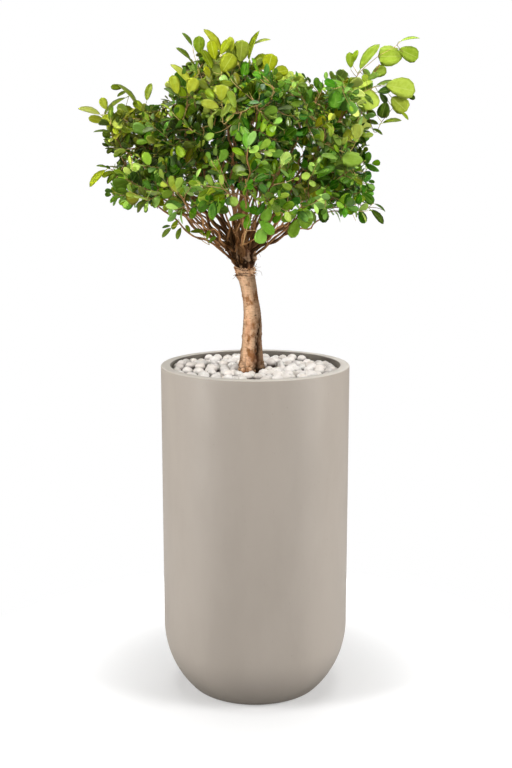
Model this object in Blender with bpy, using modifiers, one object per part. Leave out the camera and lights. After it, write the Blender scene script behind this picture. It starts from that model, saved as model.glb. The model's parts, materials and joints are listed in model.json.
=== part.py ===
"""A fig grown as a standard: a loose round head on a clear trunk, in a tall round-bottomed planter.

Run with: blender --background --python part.py
Units are metres, +Z is up, and the origin is the middle of the planter's flat foot.
-Y is the front of the plant.

The planter and its filling are turned shapes. The trunk and the boughs are tapering limbs.
Each bough carries one mass of foliage, which branches from one stem by a seeded rule and
keeps to its own space: an egg, cut back to the points nearer to it than to any other mass.
"""

import math
import random
from dataclasses import dataclass

import bmesh
import bpy
from mathutils import Matrix, Vector
from mathutils.bvhtree import BVHTree

# ---------------------------------------------------------------- driving dimensions
CLEARANCE = 0.0004          # between solids that meet face to face
SEED = 700

PLANTER_RADIUS = 0.200
PLANTER_HEIGHT = 0.710
PLANTER_WALL = 0.021
FOOT_RADIUS = 0.141         # where the round bottom is cut off flat
RIM_ROUNDING = 0.003
PLANTER_STEPS = 40          # faces round the planter
BOWL_STEPS = 6              # faces down the curve of its bottom
BOWL_CENTRE = math.sqrt(PLANTER_RADIUS**2 - FOOT_RADIUS**2)

SOIL_LEVEL = 0.670
SOIL_GAP = 0.001            # from the planter's faceted inside
SOIL_STEPS = 24

BED_TOP = 0.690             # top of the packed layer that the surface pebbles stand out of
BED_GAP = 0.0008
BED_HOLE = 0.042            # room for the root flare
PEBBLE_SIZE = (0.0180, 0.0155, 0.0115)
PEBBLE_SPACING = 0.050
PEBBLE_RINGS = 4
PEBBLE_TILT = 0.35          # radians
PEBBLE_RISE = 0.003         # most that one stands above the next

TRUNK_SIDES = 12
# Stations up the trunk: height, sideways sway, radius.
TRUNK_STATIONS = (
    (SOIL_LEVEL + CLEARANCE, -0.0100, 0.0250),
    (0.692, -0.0097, 0.0225),
    (0.718, -0.0088, 0.0210),
    (0.765, -0.0072, 0.0190),
    (0.795, -0.0057, 0.0188),
    (0.825, -0.0065, 0.0177),
    (0.852, -0.0103, 0.0168),
    (0.880, -0.0150, 0.0176),
    (0.903, -0.0205, 0.0192),
    (0.922, -0.0232, 0.0225),
)
ROOT_LOBES = 5
ROOT_LOBE_DEPTH = 0.16      # of the radius, at ground level
ROOT_FLARE_TOP = 0.725

HEAD = Vector((-0.0255, 0.0, 0.9430))   # middle of the knuckle that the boughs leave
HEAD_RADIUS = 0.027
HEAD_ANGLES = (112, 90, 66, 42, 18)     # degrees from straight up, of the knuckle's rings

BOUGH_SIDES = 5
BOUGH_POINTS = 4
BOUGH_TIP_RADIUS = 0.0024
BOUGH_TAPER = 0.8           # under 1 it thins sooner
BOUGH_LEAD = 0.006          # straight run at each end, square to what it meets
# How steeply each ring of boughs leaves the knuckle, in degrees from straight up, and its radius.
LAUNCH = {"low": (70, 0.0048), "mid": (43, 0.0046), "top": (15, 0.0042)}

# Masses of foliage, ring by ring and by their bearings from +X:
# name, bearing, reach from the knuckle, height, half width, half height, foliage.
MASSES = {
    "low": (
        ("right", 0, 0.222, 1.078, 0.095, 0.094, "leaf_mature"),
        ("back_right", 45, 0.225, 1.110, 0.100, 0.094, "leaf_mature"),
        ("back", 90, 0.215, 1.120, 0.100, 0.094, "leaf_mature"),
        ("back_left", 135, 0.225, 1.120, 0.100, 0.094, "leaf_mature"),
        ("left", 180, 0.232, 1.115, 0.094, 0.094, "leaf_mature"),
        ("front_left", 225, 0.216, 1.068, 0.100, 0.094, "leaf_mature"),
        ("front", 272, 0.204, 1.080, 0.098, 0.094, "leaf_mature"),
        ("front_right", 318, 0.211, 1.070, 0.098, 0.094, "leaf_mature"),
    ),
    "mid": (
        ("right", 10, 0.245, 1.222, 0.098, 0.082, "leaf_mature"),
        ("back_right", 52, 0.200, 1.245, 0.100, 0.086, "leaf_mature"),
        ("back", 98, 0.195, 1.250, 0.100, 0.086, "leaf_mature"),
        ("back_left", 143, 0.200, 1.232, 0.098, 0.078, "leaf_mature"),
        ("left", 184, 0.243, 1.232, 0.094, 0.062, "leaf_young"),
        ("front_left", 228, 0.165, 1.225, 0.096, 0.086, "leaf_mature"),
        ("front", 280, 0.165, 1.225, 0.096, 0.084, "leaf_mature"),
        ("front_right", 322, 0.175, 1.235, 0.098, 0.082, "leaf_mature"),
        ("upper_right", 348, 0.276, 1.318, 0.092, 0.076, "leaf_young"),
    ),
    "top": (
        ("right", 345, 0.052, 1.322, 0.083, 0.072, "leaf_young"),
        ("back", 75, 0.085, 1.325, 0.090, 0.068, "leaf_mature"),
        ("left", 188, 0.082, 1.326, 0.082, 0.074, "leaf_young"),
        ("heart", 250, 0.055, 1.170, 0.085, 0.080, "leaf_mature"),
    ),
}
CROWN_MIDDLE = Vector((-0.02, 0.0, 1.12))
ENTRY = 0.80                # where a bough ends, as a share of the way out from the mass's middle
CELL_MARGIN = 0.0006        # from the plane half way to the next mass

TWIG_SIDES = 3
STEM_END = 0.40             # how far past its middle a mass's own stem runs, as a share of its size
STEM_LIFT = 0.4             # how much it turns up there
STEM_RADII = (0.0023, 0.0020, 0.0015)
SHOOTS = 8
SHOOTS_START = 0.12         # where the first and last leave the stem, as shares of its length
SHOOTS_END = 0.97
SHOOT_RADII = (0.0016, 0.0009)
SHOOT_ANGLES = (78, 22)     # degrees off the stem's line, at its foot and at its end
SHOOT_LIFT = 0.15           # how much a shoot turns up
SHOOT_SHORTEST = 0.018
SHOOT_LONGEST = 0.080
SHOOT_STEP = 0.003
SHOOT_MARGIN = 0.028        # room left past its tip for leaves
GOLDEN_ANGLE = math.radians(137.5)

LEAF_LENGTH = 0.064
LEAF_WIDTH = 0.042
LEAF_THICKNESS = 0.0018
LEAF_WIDEST = 0.58          # obovate: widest past the middle
LEAF_SIZES = (0.75, 1.10)
LEAF_LIFT = 0.5             # how far a leaf's upper side faces up, next to outwards
LEAF_WANDER = 0.7
LEAF_SPACING = 0.018        # along a shoot
LEAVES_START = 0.15         # where the first and last sit on a shoot, as shares of its length
LEAVES_END = 0.98
LEAF_LEANS = (0.9, 1.3)     # how far a leaf leans out from its shoot: the tangent of the angle
TIP_LEAN = 0.25
LEAF_STEEPEST = 0.95        # cosine of the least angle between a leaf's line and its upper side
LEAF_TRIES = 8
LEAF_RETRY_TURN = 0.8
LIMB_GAP = 0.003            # kept between foliage and limbs

# Finishes: base colour, roughness.
FINISHES = {
    "planter": ((0.46, 0.40, 0.33), 0.62),
    "soil": ((0.05, 0.035, 0.025), 0.95),
    "pebble": ((0.80, 0.76, 0.71), 0.70),
    "trunk_bark": ((0.43, 0.23, 0.11), 0.85),
    "bough_bark": ((0.20, 0.10, 0.05), 0.88),
    "leaf_mature": ((0.050, 0.130, 0.020), 0.42),
    "leaf_young": ((0.240, 0.330, 0.030), 0.45),
}


# ---------------------------------------------------------------- scene and helpers
def clear_scene():
    """Remove the objects that Blender starts with."""
    for obj in list(bpy.data.objects):
        bpy.data.objects.remove(obj, do_unlink=True)


def finish(name):
    """The named material, made once."""
    found = bpy.data.materials.get(name)
    if found:
        return found
    colour, roughness = FINISHES[name]
    material = bpy.data.materials.new(name)
    material.use_nodes = True
    shader = material.node_tree.nodes["Principled BSDF"]
    shader.inputs["Base Color"].default_value = (*colour, 1.0)
    shader.inputs["Roughness"].default_value = roughness
    shader.inputs["Metallic"].default_value = 0.0
    return material


def add_object(name, bm, collection, material):
    """Turn a bmesh into a named object of a collection."""
    mesh = bpy.data.meshes.new(name)
    bmesh.ops.recalc_face_normals(bm, faces=bm.faces)
    bm.to_mesh(mesh)
    bm.free()
    mesh.materials.append(finish(material))
    obj = bpy.data.objects.new(name, mesh)
    collection.objects.link(obj)
    return obj


def turned(name, profile, steps, collection, material, closed=False):
    """A profile of (radius, height) points, spun round Z by a Screw modifier."""
    bm = bmesh.new()
    points = [bm.verts.new((radius, 0.0, height)) for radius, height in profile]
    for first, second in zip(points, points[1:]):
        bm.edges.new((first, second))
    if closed:
        bm.edges.new((points[-1], points[0]))
    mesh = bpy.data.meshes.new(name)
    bm.to_mesh(mesh)
    bm.free()
    mesh.materials.append(finish(material))
    obj = bpy.data.objects.new(name, mesh)
    collection.objects.link(obj)
    screw = obj.modifiers.new("turn", "SCREW")
    screw.steps = screw.render_steps = steps
    screw.use_merge_vertices = True
    screw.merge_threshold = 0.0001
    screw.use_smooth_shade = True
    return obj


def baked(obj):
    """Replace an object's mesh by its evaluated one, so that its modifiers are applied."""
    graph = bpy.context.evaluated_depsgraph_get()
    mesh = bpy.data.meshes.new_from_object(obj.evaluated_get(graph))
    obj.modifiers.clear()
    obj.data = mesh
    return obj


def keep_largest_shell(obj):
    """Drop loose scraps and sealed hollows that fusing leaves, and keep the one outer shell."""
    bm = bmesh.new()
    bm.from_mesh(obj.data)
    unseen = set(bm.verts)
    shells = []
    while unseen:
        stack = [unseen.pop()]
        shell = set(stack)
        while stack:
            for edge in stack.pop().link_edges:
                for vert in edge.verts:
                    if vert in unseen:
                        unseen.remove(vert)
                        shell.add(vert)
                        stack.append(vert)
        shells.append(shell)
    largest = max(shells, key=len)
    bmesh.ops.delete(bm, geom=[v for v in bm.verts if v not in largest], context="VERTS")
    bm.to_mesh(obj.data)
    bm.free()


def fuse(base, pieces):
    """Join a collection of pieces to the base by one Boolean union, then remove the pieces."""
    union = base.modifiers.new("fuse", "BOOLEAN")
    union.operation = "UNION"
    union.operand_type = "COLLECTION"
    union.collection = pieces
    union.solver = "MANIFOLD"
    baked(base)
    for obj in list(pieces.objects):
        bpy.data.objects.remove(obj, do_unlink=True)
    bpy.data.collections.remove(pieces)
    keep_largest_shell(base)
    return base


def path_frames(path):
    """One matrix for each point of a path, with Z along it and no twist from one to the next."""
    frames = []
    side = Vector((1.0, 0.0, 0.0))
    for i, point in enumerate(path):
        along = (path[min(i + 1, len(path) - 1)] - path[max(i - 1, 0)]).normalized()
        side = side - along * side.dot(along)
        if side.length < 0.05:
            side = along.orthogonal()
        side.normalize()
        frame = Matrix((side, along.cross(side), along)).transposed().to_4x4()
        frame.translation = point
        frames.append(frame)
    return frames


def limb_mesh(path, radii, sides):
    """A closed tapering limb: a ring extruded from point to point along its path."""
    bm = bmesh.new()
    bmesh.ops.create_circle(bm, cap_ends=True, segments=sides, radius=1.0)
    bm.faces.ensure_lookup_table()
    cap = bm.faces[0]
    before = Matrix.Identity(4)
    for i, (frame, radius) in enumerate(zip(path_frames(path), radii)):
        if i:
            made = bmesh.ops.extrude_face_region(bm, geom=[cap, *cap.edges])["geom"]
            cap = next(g for g in made if isinstance(g, bmesh.types.BMFace))
        placed = frame @ Matrix.Diagonal((radius, radius, 1.0, 1.0))
        bmesh.ops.transform(bm, matrix=placed @ before.inverted(), verts=cap.verts)
        before = placed
    return bm


def bend(start, start_way, end, end_way, points):
    """Points along a smooth curve that leaves start along start_way and arrives along end_way."""
    pull = (end - start).length * 0.9
    found = []
    for i in range(points):
        t = i / (points - 1)
        found.append(
            start * (2 * t**3 - 3 * t**2 + 1)
            + start_way * (pull * (t**3 - 2 * t**2 + t))
            + end * (3 * t**2 - 2 * t**3)
            + end_way * (pull * (t**3 - t**2))
        )
    return found


def distance_to_path(point, path):
    """How far a point is from a chain of straight runs."""
    least = math.inf
    for first, second in zip(path, path[1:]):
        run = second - first
        t = max(0.0, min(1.0, (point - first).dot(run) / run.length_squared))
        least = min(least, (first + run * t - point).length)
    return least


# ---------------------------------------------------------------- planter and filling
def bowl_profile(top, inset):
    """The planter's outline from its top down to the axis, set in from the outside by inset."""
    radius = PLANTER_RADIUS - inset
    end = math.asin((BOWL_CENTRE - inset) / radius)
    angles = [end * i / BOWL_STEPS for i in range(BOWL_STEPS + 1)]
    curve = [(radius * math.cos(a), BOWL_CENTRE - radius * math.sin(a)) for a in angles]
    return [(radius, top), *curve, (0.0, inset)]


def make_planter(plant):
    """The planter's shell: the outer surface turned, thickened inwards and rounded at the rim."""
    planter = turned("planter", bowl_profile(PLANTER_HEIGHT, 0.0), PLANTER_STEPS, plant, "planter")
    wall = planter.modifiers.new("wall", "SOLIDIFY")
    wall.thickness = PLANTER_WALL
    wall.offset = -1.0
    wall.use_even_offset = True
    rim = planter.modifiers.new("rim", "BEVEL")
    rim.width = RIM_ROUNDING
    rim.segments = 1
    rim.limit_method = "ANGLE"
    rim.angle_limit = math.radians(60)
    return planter


def make_soil(plant):
    """The compost that fills the planter up to ground level."""
    outline = bowl_profile(SOIL_LEVEL, PLANTER_WALL + SOIL_GAP)
    return turned("potting_soil", [(0.0, SOIL_LEVEL), *outline], SOIL_STEPS, plant, "soil")


def make_pebble_dressing(plant):
    """The white pebbles: a packed ring round the trunk with pebbles standing out of its top."""
    outer = PLANTER_RADIUS - PLANTER_WALL - BED_GAP
    bottom = SOIL_LEVEL + CLEARANCE
    ring = [(BED_HOLE, BED_TOP), (outer, BED_TOP), (outer, bottom), (BED_HOLE, bottom)]
    bed = baked(turned("pebble_dressing", ring, SOIL_STEPS, plant, "pebble", closed=True))
    pebbles = bpy.data.collections.new("pebbles")
    bpy.context.scene.collection.children.link(pebbles)
    rng = random.Random(SEED)
    innermost = BED_HOLE + PEBBLE_SIZE[0] + BED_GAP
    outermost = outer * math.cos(math.pi / SOIL_STEPS) - PEBBLE_SIZE[0] - BED_GAP
    for ring_number in range(PEBBLE_RINGS):
        radius = innermost + (outermost - innermost) * ring_number / (PEBBLE_RINGS - 1)
        count = int(2 * math.pi * radius / PEBBLE_SPACING)
        start = rng.uniform(0.0, 2 * math.pi)
        for i in range(count):
            angle = start + 2 * math.pi * i / count
            height = BED_TOP + rng.uniform(0.0, PEBBLE_RISE)
            add_pebble((radius * math.cos(angle), radius * math.sin(angle), height), rng, pebbles)
    return fuse(bed, pebbles)


def add_pebble(place, rng, pebbles):
    """One rounded stone, turned and tilted at random."""
    turn = Matrix.Rotation(rng.uniform(0.0, math.pi), 4, "Z")
    tilt = Matrix.Rotation(rng.uniform(-PEBBLE_TILT, PEBBLE_TILT), 4, "Y")
    placed = Matrix.Translation(place) @ turn @ tilt @ Matrix.Diagonal((*PEBBLE_SIZE, 1.0))
    bm = bmesh.new()
    bmesh.ops.create_icosphere(bm, subdivisions=1, radius=1.0, matrix=placed)
    add_object("pebble", bm, pebbles, "pebble")


# ---------------------------------------------------------------- trunk and boughs
def make_trunk(plant):
    """The trunk, from a flat cut at ground level to the round knuckle that carries the boughs."""
    path = [Vector((sway, 0.0, height)) for height, sway, _ in TRUNK_STATIONS]
    radii = [radius for _, _, radius in TRUNK_STATIONS]
    for angle in map(math.radians, HEAD_ANGLES):
        path.append(HEAD + Vector((0.0, 0.0, HEAD_RADIUS * math.cos(angle))))
        radii.append(HEAD_RADIUS * math.sin(angle))
    bm = limb_mesh(path, radii, TRUNK_SIDES)
    foot = path[0]
    for vert in bm.verts:
        share = (ROOT_FLARE_TOP - vert.co.z) / (ROOT_FLARE_TOP - foot.z)
        if share > 0:
            angle = math.atan2(vert.co.y, vert.co.x - foot.x)
            swell = 1 + ROOT_LOBE_DEPTH * share * math.cos(ROOT_LOBES * angle)
            vert.co.x = foot.x + (vert.co.x - foot.x) * swell
            vert.co.y *= swell
    for vert in sorted(bm.verts, key=lambda vert: vert.co.z)[:TRUNK_SIDES]:
        vert.co.z = foot.z
    return add_object("trunk", bm, plant, "trunk_bark")


@dataclass(frozen=True)
class Mass:
    """A mass of foliage as planned: its space is an egg round its middle, and a bough leads to it."""

    name: str
    middle: Vector
    half: Vector        # half the egg's width, depth and height
    bough: list         # points along the bough
    bough_radius: float
    leaf: str           # the finish of its leaves


def polar(steepness, bearing):
    """A unit direction, from degrees off straight up and degrees round from +X."""
    off, turn = math.radians(steepness), math.radians(bearing)
    return Vector((math.sin(off) * math.cos(turn), math.sin(off) * math.sin(turn), math.cos(off)))


def plan_masses():
    """Every mass and its bough's path, worked out before any of them is grown."""
    plan = []
    for ring, masses in MASSES.items():
        steepness, bough_radius = LAUNCH[ring]
        for place, (name, bearing, reach, height, wide, tall, leaf) in enumerate(masses):
            middle = HEAD + polar(90, bearing) * reach
            middle.z = height
            way = polar(steepness, masses[0][1] + 360 * place / len(masses))
            start = HEAD + way * (HEAD_RADIUS + CLEARANCE)
            back = (start - middle).normalized()
            radius = 1 / math.hypot(back.x / wide, back.y / wide, back.z / tall)
            end = middle + back * (radius * ENTRY)
            curve = bend(start + way * BOUGH_LEAD, way, end + back * BOUGH_LEAD, -back, BOUGH_POINTS)
            bough = [start, *curve, end]
            plan.append(Mass(f"{ring}_{name}", middle, Vector((wide, wide, tall)), bough, bough_radius, leaf))
    return plan


def make_bough(mass, plant):
    """One tapering bough, from the knuckle to where it enters its mass."""
    steps = len(mass.bough) - 1
    taper = BOUGH_TIP_RADIUS - mass.bough_radius
    radii = [mass.bough_radius + taper * (i / steps) ** BOUGH_TAPER for i in range(steps + 1)]
    bm = limb_mesh(mass.bough, radii, BOUGH_SIDES)
    return add_object(f"bough_{mass.name}", bm, plant, "bough_bark")


# ---------------------------------------------------------------- foliage
def in_space(point, mass, masses):
    """Whether a point is inside a mass's egg, and nearer to it than to any other mass."""
    out = point - mass.middle
    half = mass.half
    if math.hypot(out.x / half.x, out.y / half.y, out.z / half.z) > 1.0:
        return False
    for other in masses:
        apart = other.middle - mass.middle
        if other is not mass and apart.length / 2 - out.dot(apart) / apart.length < CELL_MARGIN:
            return False
    return True


def clear_of_limbs(point, masses):
    """Whether a point keeps its distance from every bough and from the knuckle."""
    if (point - HEAD).length < HEAD_RADIUS + LIMB_GAP:
        return False
    return all(distance_to_path(point, mass.bough) > mass.bough_radius + LIMB_GAP for mass in masses)


def random_way(rng):
    """A random direction."""
    height = rng.uniform(-1.0, 1.0)
    turn = rng.uniform(0.0, 2 * math.pi)
    flat = math.sqrt(1 - height * height)
    return Vector((flat * math.cos(turn), flat * math.sin(turn), height))


def point_along(path, share):
    """The point at a share of a path's length."""
    runs = [(second - first).length for first, second in zip(path, path[1:])]
    left = share * sum(runs)
    for first, second, run in zip(path, path[1:], runs):
        if left <= run:
            return first.lerp(second, left / run)
        left -= run
    return path[-1].copy()


def leaf_mesh(base, along, up, length):
    """A leaf of six faces: a low pyramid on a kite, so that the blade is folded along its midrib."""
    width = LEAF_WIDTH * length / LEAF_LENGTH
    widest = length * LEAF_WIDEST
    bm = bmesh.new()
    bmesh.ops.create_cone(bm, cap_ends=True, cap_tris=False, segments=4, radius1=1.0, radius2=0.0, depth=1.0)
    for vert in bm.verts:
        x, y, z = vert.co
        if z > 0:
            vert.co = Vector((widest, 0.0, LEAF_THICKNESS))
        elif abs(x) > abs(y):
            vert.co = Vector((length if x > 0 else 0.0, 0.0, 0.0))
        else:
            vert.co = Vector((widest, math.copysign(width / 2, y), 0.0))
    side = up.cross(along).normalized()
    frame = Matrix((along, side, along.cross(side))).transposed().to_4x4()
    frame.translation = base
    bmesh.ops.transform(bm, matrix=frame, verts=bm.verts)
    return bm


def leaf_fits(base, along, up, length, mass, masses):
    """Whether points over a leaf's blade keep to its mass's space and clear of limbs."""
    side = up.cross(along).normalized()
    width = LEAF_WIDTH * length / LEAF_LENGTH
    for share, wide in ((0.15, 0.0), (0.30, 0.5), (LEAF_WIDEST, 1.0), (0.80, 0.6), (1.0, 0.0)):
        for across in (-0.5, 0.0, 0.5):
            point = base + along * (length * share) + side * (width * wide * across)
            if not in_space(point, mass, masses) or not clear_of_limbs(point, masses):
                return False
    return True


def grow_leaf(base, along, rng, mass, masses, solids):
    """A leaf and its search tree, if it fits its space and crosses none of the solids, or None."""
    length = LEAF_LENGTH * rng.uniform(*LEAF_SIZES)
    outwards = (base - CROWN_MIDDLE).normalized()
    up = (outwards + Vector((0.0, 0.0, LEAF_LIFT)) + random_way(rng) * LEAF_WANDER).normalized()
    if abs(up.dot(along)) > LEAF_STEEPEST or not leaf_fits(base, along, up, length, mass, masses):
        return None
    bm = leaf_mesh(base, along, up, length)
    tree = BVHTree.FromBMesh(bm)
    if any(tree.overlap(other) for other in solids):
        bm.free()
        return None
    return bm, tree


def shoot_path(start, way, mass, masses):
    """A straight shoot from its mass's stem towards the edge of the space, or None if it is too short."""
    length = 0.0
    while length < SHOOT_LONGEST:
        ahead = start + way * (length + SHOOT_STEP)
        if not clear_of_limbs(ahead, masses):
            break
        if not in_space(ahead + way * SHOOT_MARGIN, mass, masses):
            break
        length += SHOOT_STEP
    if length < SHOOT_SHORTEST:
        return None
    return [start, start + way * length]


def stem_path(mass):
    """A mass's own stem: from its bough's tip through its middle, then rising a little."""
    way = (mass.middle - mass.bough[-1]).normalized()
    rise = (way + Vector((0.0, 0.0, STEM_LIFT))).normalized()
    return [
        mass.bough[-1] + way * CLEARANCE,
        mass.middle,
        mass.middle + rise * (mass.half.z * STEM_END),
    ]


def make_shoots(stem, rng, mass, masses, pieces):
    """The shoots, which leave the stem by turns and ever more steeply. Returns their paths and search trees."""
    way = (stem[1] - stem[0]).normalized()
    side = way.orthogonal().normalized()
    shoots = []
    for i in range(SHOOTS):
        share = i / (SHOOTS - 1)
        foot = point_along(stem, SHOOTS_START + (SHOOTS_END - SHOOTS_START) * share)
        off = math.radians(SHOOT_ANGLES[0] + (SHOOT_ANGLES[1] - SHOOT_ANGLES[0]) * share)
        turn = Matrix.Rotation(GOLDEN_ANGLE * i + rng.uniform(-0.3, 0.3), 3, way)
        heading = way * math.cos(off) + (turn @ side) * math.sin(off) + Vector((0.0, 0.0, SHOOT_LIFT))
        path = shoot_path(foot, heading.normalized(), mass, masses)
        if path:
            bm = limb_mesh(path, SHOOT_RADII, TWIG_SIDES)
            shoots.append((path, BVHTree.FromBMesh(bm)))
            add_object("shoot", bm, pieces, mass.leaf)
    return shoots


def make_leaves(path, others, leaves, rng, mass, masses, pieces):
    """Leaves set by turns along one shoot, with one at its tip, clear of the others and of each other."""
    onward = path[-1] - path[0]
    count = max(2, round(onward.length / LEAF_SPACING))
    onward.normalize()
    side = onward.orthogonal().normalized()
    for i in range(count + 1):
        base = point_along(path, LEAVES_START + (LEAVES_END - LEAVES_START) * i / count)
        for attempt in range(LEAF_TRIES):
            angle = GOLDEN_ANGLE * i + attempt * LEAF_RETRY_TURN + rng.uniform(-0.4, 0.4)
            lean = TIP_LEAN if i == count else rng.uniform(*LEAF_LEANS)
            along = (onward + (Matrix.Rotation(angle, 3, onward) @ side) * lean).normalized()
            grown = grow_leaf(base, along, rng, mass, masses, others + leaves)
            if grown:
                bm, tree = grown
                leaves.append(tree)
                add_object("leaf", bm, pieces, mass.leaf)
                break


def make_foliage(number, mass, masses, plant):
    """One mass of foliage: its own stem, shoots that leave it by turns, and leaves along the shoots."""
    rng = random.Random(SEED + number)
    stem = stem_path(mass)
    foliage = add_object(f"foliage_{mass.name}", limb_mesh(stem, STEM_RADII, TWIG_SIDES), plant, mass.leaf)
    pieces = bpy.data.collections.new(f"pieces_{mass.name}")
    bpy.context.scene.collection.children.link(pieces)
    shoots = make_shoots(stem, rng, mass, masses, pieces)
    leaves = []
    for path, tree in shoots:
        others = [other for _, other in shoots if other is not tree]
        make_leaves(path, others, leaves, rng, mass, masses, pieces)
    fuse(foliage, pieces)
    print(f"{foliage.name}: {len(shoots)} shoots, {len(leaves)} leaves")


# ---------------------------------------------------------------- the whole plant
def main():
    """Build every sub-part as its own named object."""
    clear_scene()
    plant = bpy.data.collections.new("standard_fig_in_planter")
    bpy.context.scene.collection.children.link(plant)
    make_planter(plant)
    make_soil(plant)
    make_pebble_dressing(plant)
    make_trunk(plant)
    masses = plan_masses()
    for mass in masses:
        make_bough(mass, plant)
    for number, mass in enumerate(masses):
        make_foliage(number, mass, masses, plant)


main()
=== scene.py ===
"""The looks of a fig grown as a standard in a tall round-bottomed planter.

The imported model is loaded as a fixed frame. The planter, its pebbles, the trunk and the boughs are
replaced by finer meshes in the same places, and every mass of foliage by twigs and leaves that grow on
from its bough by the same rule as the solids, carried to finer twigs. Units are metres and +Z is up.
"""

import json
import logging
from dataclasses import dataclass, field
from enum import Enum
from math import acos, asin, atan2, cos, exp, hypot, pi, radians, sin, sqrt
from typing import Callable, Sequence

import bmesh
import bpy
import numpy as np
from mathutils import Matrix, Vector, noise

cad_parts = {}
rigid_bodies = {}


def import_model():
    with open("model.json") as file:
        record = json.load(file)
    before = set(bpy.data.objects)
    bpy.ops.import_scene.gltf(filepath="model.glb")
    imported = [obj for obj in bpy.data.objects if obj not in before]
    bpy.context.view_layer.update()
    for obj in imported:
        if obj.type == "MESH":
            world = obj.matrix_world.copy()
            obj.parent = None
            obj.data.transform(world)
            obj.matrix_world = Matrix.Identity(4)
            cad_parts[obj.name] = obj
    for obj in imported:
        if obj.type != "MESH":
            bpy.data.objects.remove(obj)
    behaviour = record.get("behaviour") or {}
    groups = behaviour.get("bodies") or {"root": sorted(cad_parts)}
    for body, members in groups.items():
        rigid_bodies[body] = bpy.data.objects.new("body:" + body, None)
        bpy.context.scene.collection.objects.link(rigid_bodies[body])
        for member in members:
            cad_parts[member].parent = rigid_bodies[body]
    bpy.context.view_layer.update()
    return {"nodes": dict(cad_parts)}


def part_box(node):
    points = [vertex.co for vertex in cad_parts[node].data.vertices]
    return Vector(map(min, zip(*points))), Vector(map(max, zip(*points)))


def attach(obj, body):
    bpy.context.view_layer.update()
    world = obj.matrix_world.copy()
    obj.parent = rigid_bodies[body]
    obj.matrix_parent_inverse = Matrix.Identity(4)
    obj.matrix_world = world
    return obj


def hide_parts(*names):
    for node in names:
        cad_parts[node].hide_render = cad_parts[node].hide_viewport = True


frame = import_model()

Array = np.ndarray
Rng = np.random.Generator
Mesh = bmesh.types.BMesh
Piece = bpy.types.Object
Material = bpy.types.Material
Socket = bpy.types.NodeSocket
Outputs = bpy.types.NodeOutputs
Colour = tuple[float, float, float]

LOG = logging.getLogger("standard_fig")
BODY = "root"
SEED = 700
GOLDEN_ANGLE = radians(137.5)
UP = np.array((0.0, 0.0, 1.0))
FRONT = np.array((0.0, -1.0, 0.25))     # the way that a placed leaf faces when it lies flat to the view
BARK_GIRTH = 0.019                      # the radius that the trunk's bark is mapped round at
MERGED = 1e-5                           # points this close are one


# ============================================================ paths and numbers
def unit(vector: Array) -> Array:
    """The vector, or each row of an array of them, at length 1."""
    return vector / np.maximum(np.linalg.norm(vector, axis=-1, keepdims=True), 1e-12)


def polar(steepness: float, bearing: float) -> Array:
    """The unit direction at an angle off straight up and a bearing from +X, both in degrees."""
    off, turn = radians(steepness), radians(bearing)
    return np.array((sin(off) * cos(turn), sin(off) * sin(turn), cos(off)))


def turned_about(vector: Array, axis: Array, angle: float) -> Array:
    """The vector turned about a unit axis by an angle in radians."""
    along = axis * float(vector @ axis)
    return along + (vector - along) * cos(angle) + np.cross(axis, vector) * sin(angle)


def square_to(axis: Array) -> Array:
    """A unit direction at right angles to the axis."""
    return unit(np.cross(axis, UP if abs(axis[2]) < 0.9 else np.array((1.0, 0.0, 0.0))))


def held(value: float, low: float = 0.0, high: float = 1.0) -> float:
    """The value, held between two limits."""
    return min(high, max(low, value))


def bell(off: float, width: float) -> float:
    """A smooth bump: 1 where off is 0, and next to nothing two widths away."""
    return exp(-((off / width) ** 2))


def swing(turn: float, middle: float) -> float:
    """The angle from one bearing to another, the short way round."""
    return atan2(sin(turn - middle), cos(turn - middle))


def around(turn: float, out: float, height: float) -> Vector:
    """The point at a bearing in radians, a distance out from the axis and a height."""
    return Vector((cos(turn) * out, sin(turn) * out, height))


def rough(turn: float, out: float, height: float, moved: Sequence[float] = (0.0, 0.0, 0.0)) -> float:
    """Smooth noise from -1 to 1 at a point round the axis, which may be moved to another part of it."""
    return noise.noise(around(turn, out, height) + Vector(moved))


def curve(start: Array, leave: Array, end: Array, arrive: Array, t: Array) -> Array:
    """The points at shares t of a curve between two points, with a given direction and pull at each."""
    bend = start * (2 * t**3 - 3 * t**2 + 1) + leave * (t**3 - 2 * t**2 + t)
    return bend + end * (3 * t**2 - 2 * t**3) + arrive * (t**3 - t**2)


def hermite(start: Array, leave: Array, end: Array, arrive: Array, count: int) -> Array:
    """A count of points evenly along the same curve."""
    return curve(start, leave, end, arrive, np.linspace(0.0, 1.0, count)[:, None])


def smooth_path(points: Sequence[Array], spacing: float) -> Array:
    """A smooth curve through points.

    Args:
        points: the points that it passes through, three or more.
        spacing: about how far apart its own points are.

    Returns:
        Its points, one to a row.
    """
    knots = np.asarray(points, float)
    slopes = np.gradient(knots, axis=0)
    found = []
    for i, gap in enumerate(np.linalg.norm(np.diff(knots, axis=0), axis=1)):
        count = max(1, round(float(gap) / spacing))
        t = (np.arange(count) / count)[:, None]
        found.append(curve(knots[i], slopes[i], knots[i + 1], slopes[i + 1], t))
    return np.concatenate([*found, knots[-1:]])


def lengths_along(path: Array) -> Array:
    """How far along the path each of its points is."""
    return np.concatenate([[0.0], np.cumsum(np.linalg.norm(np.diff(path, axis=0), axis=1))])


def point_at(path: Array, share: float) -> tuple[Array, Array]:
    """Find a place on a path.

    Args:
        path: its points, one to a row.
        share: how far along it the place is, as a share of its length.

    Returns:
        The point and the path's direction there.
    """
    far = lengths_along(path)
    wanted = share * far[-1]
    i = max(1, int(min(np.searchsorted(far, wanted, side="right"), len(path) - 1)))
    part = (wanted - far[i - 1]) / max(far[i] - far[i - 1], 1e-9)
    step = path[i] - path[i - 1]
    return path[i - 1] + step * part, unit(step)


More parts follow.
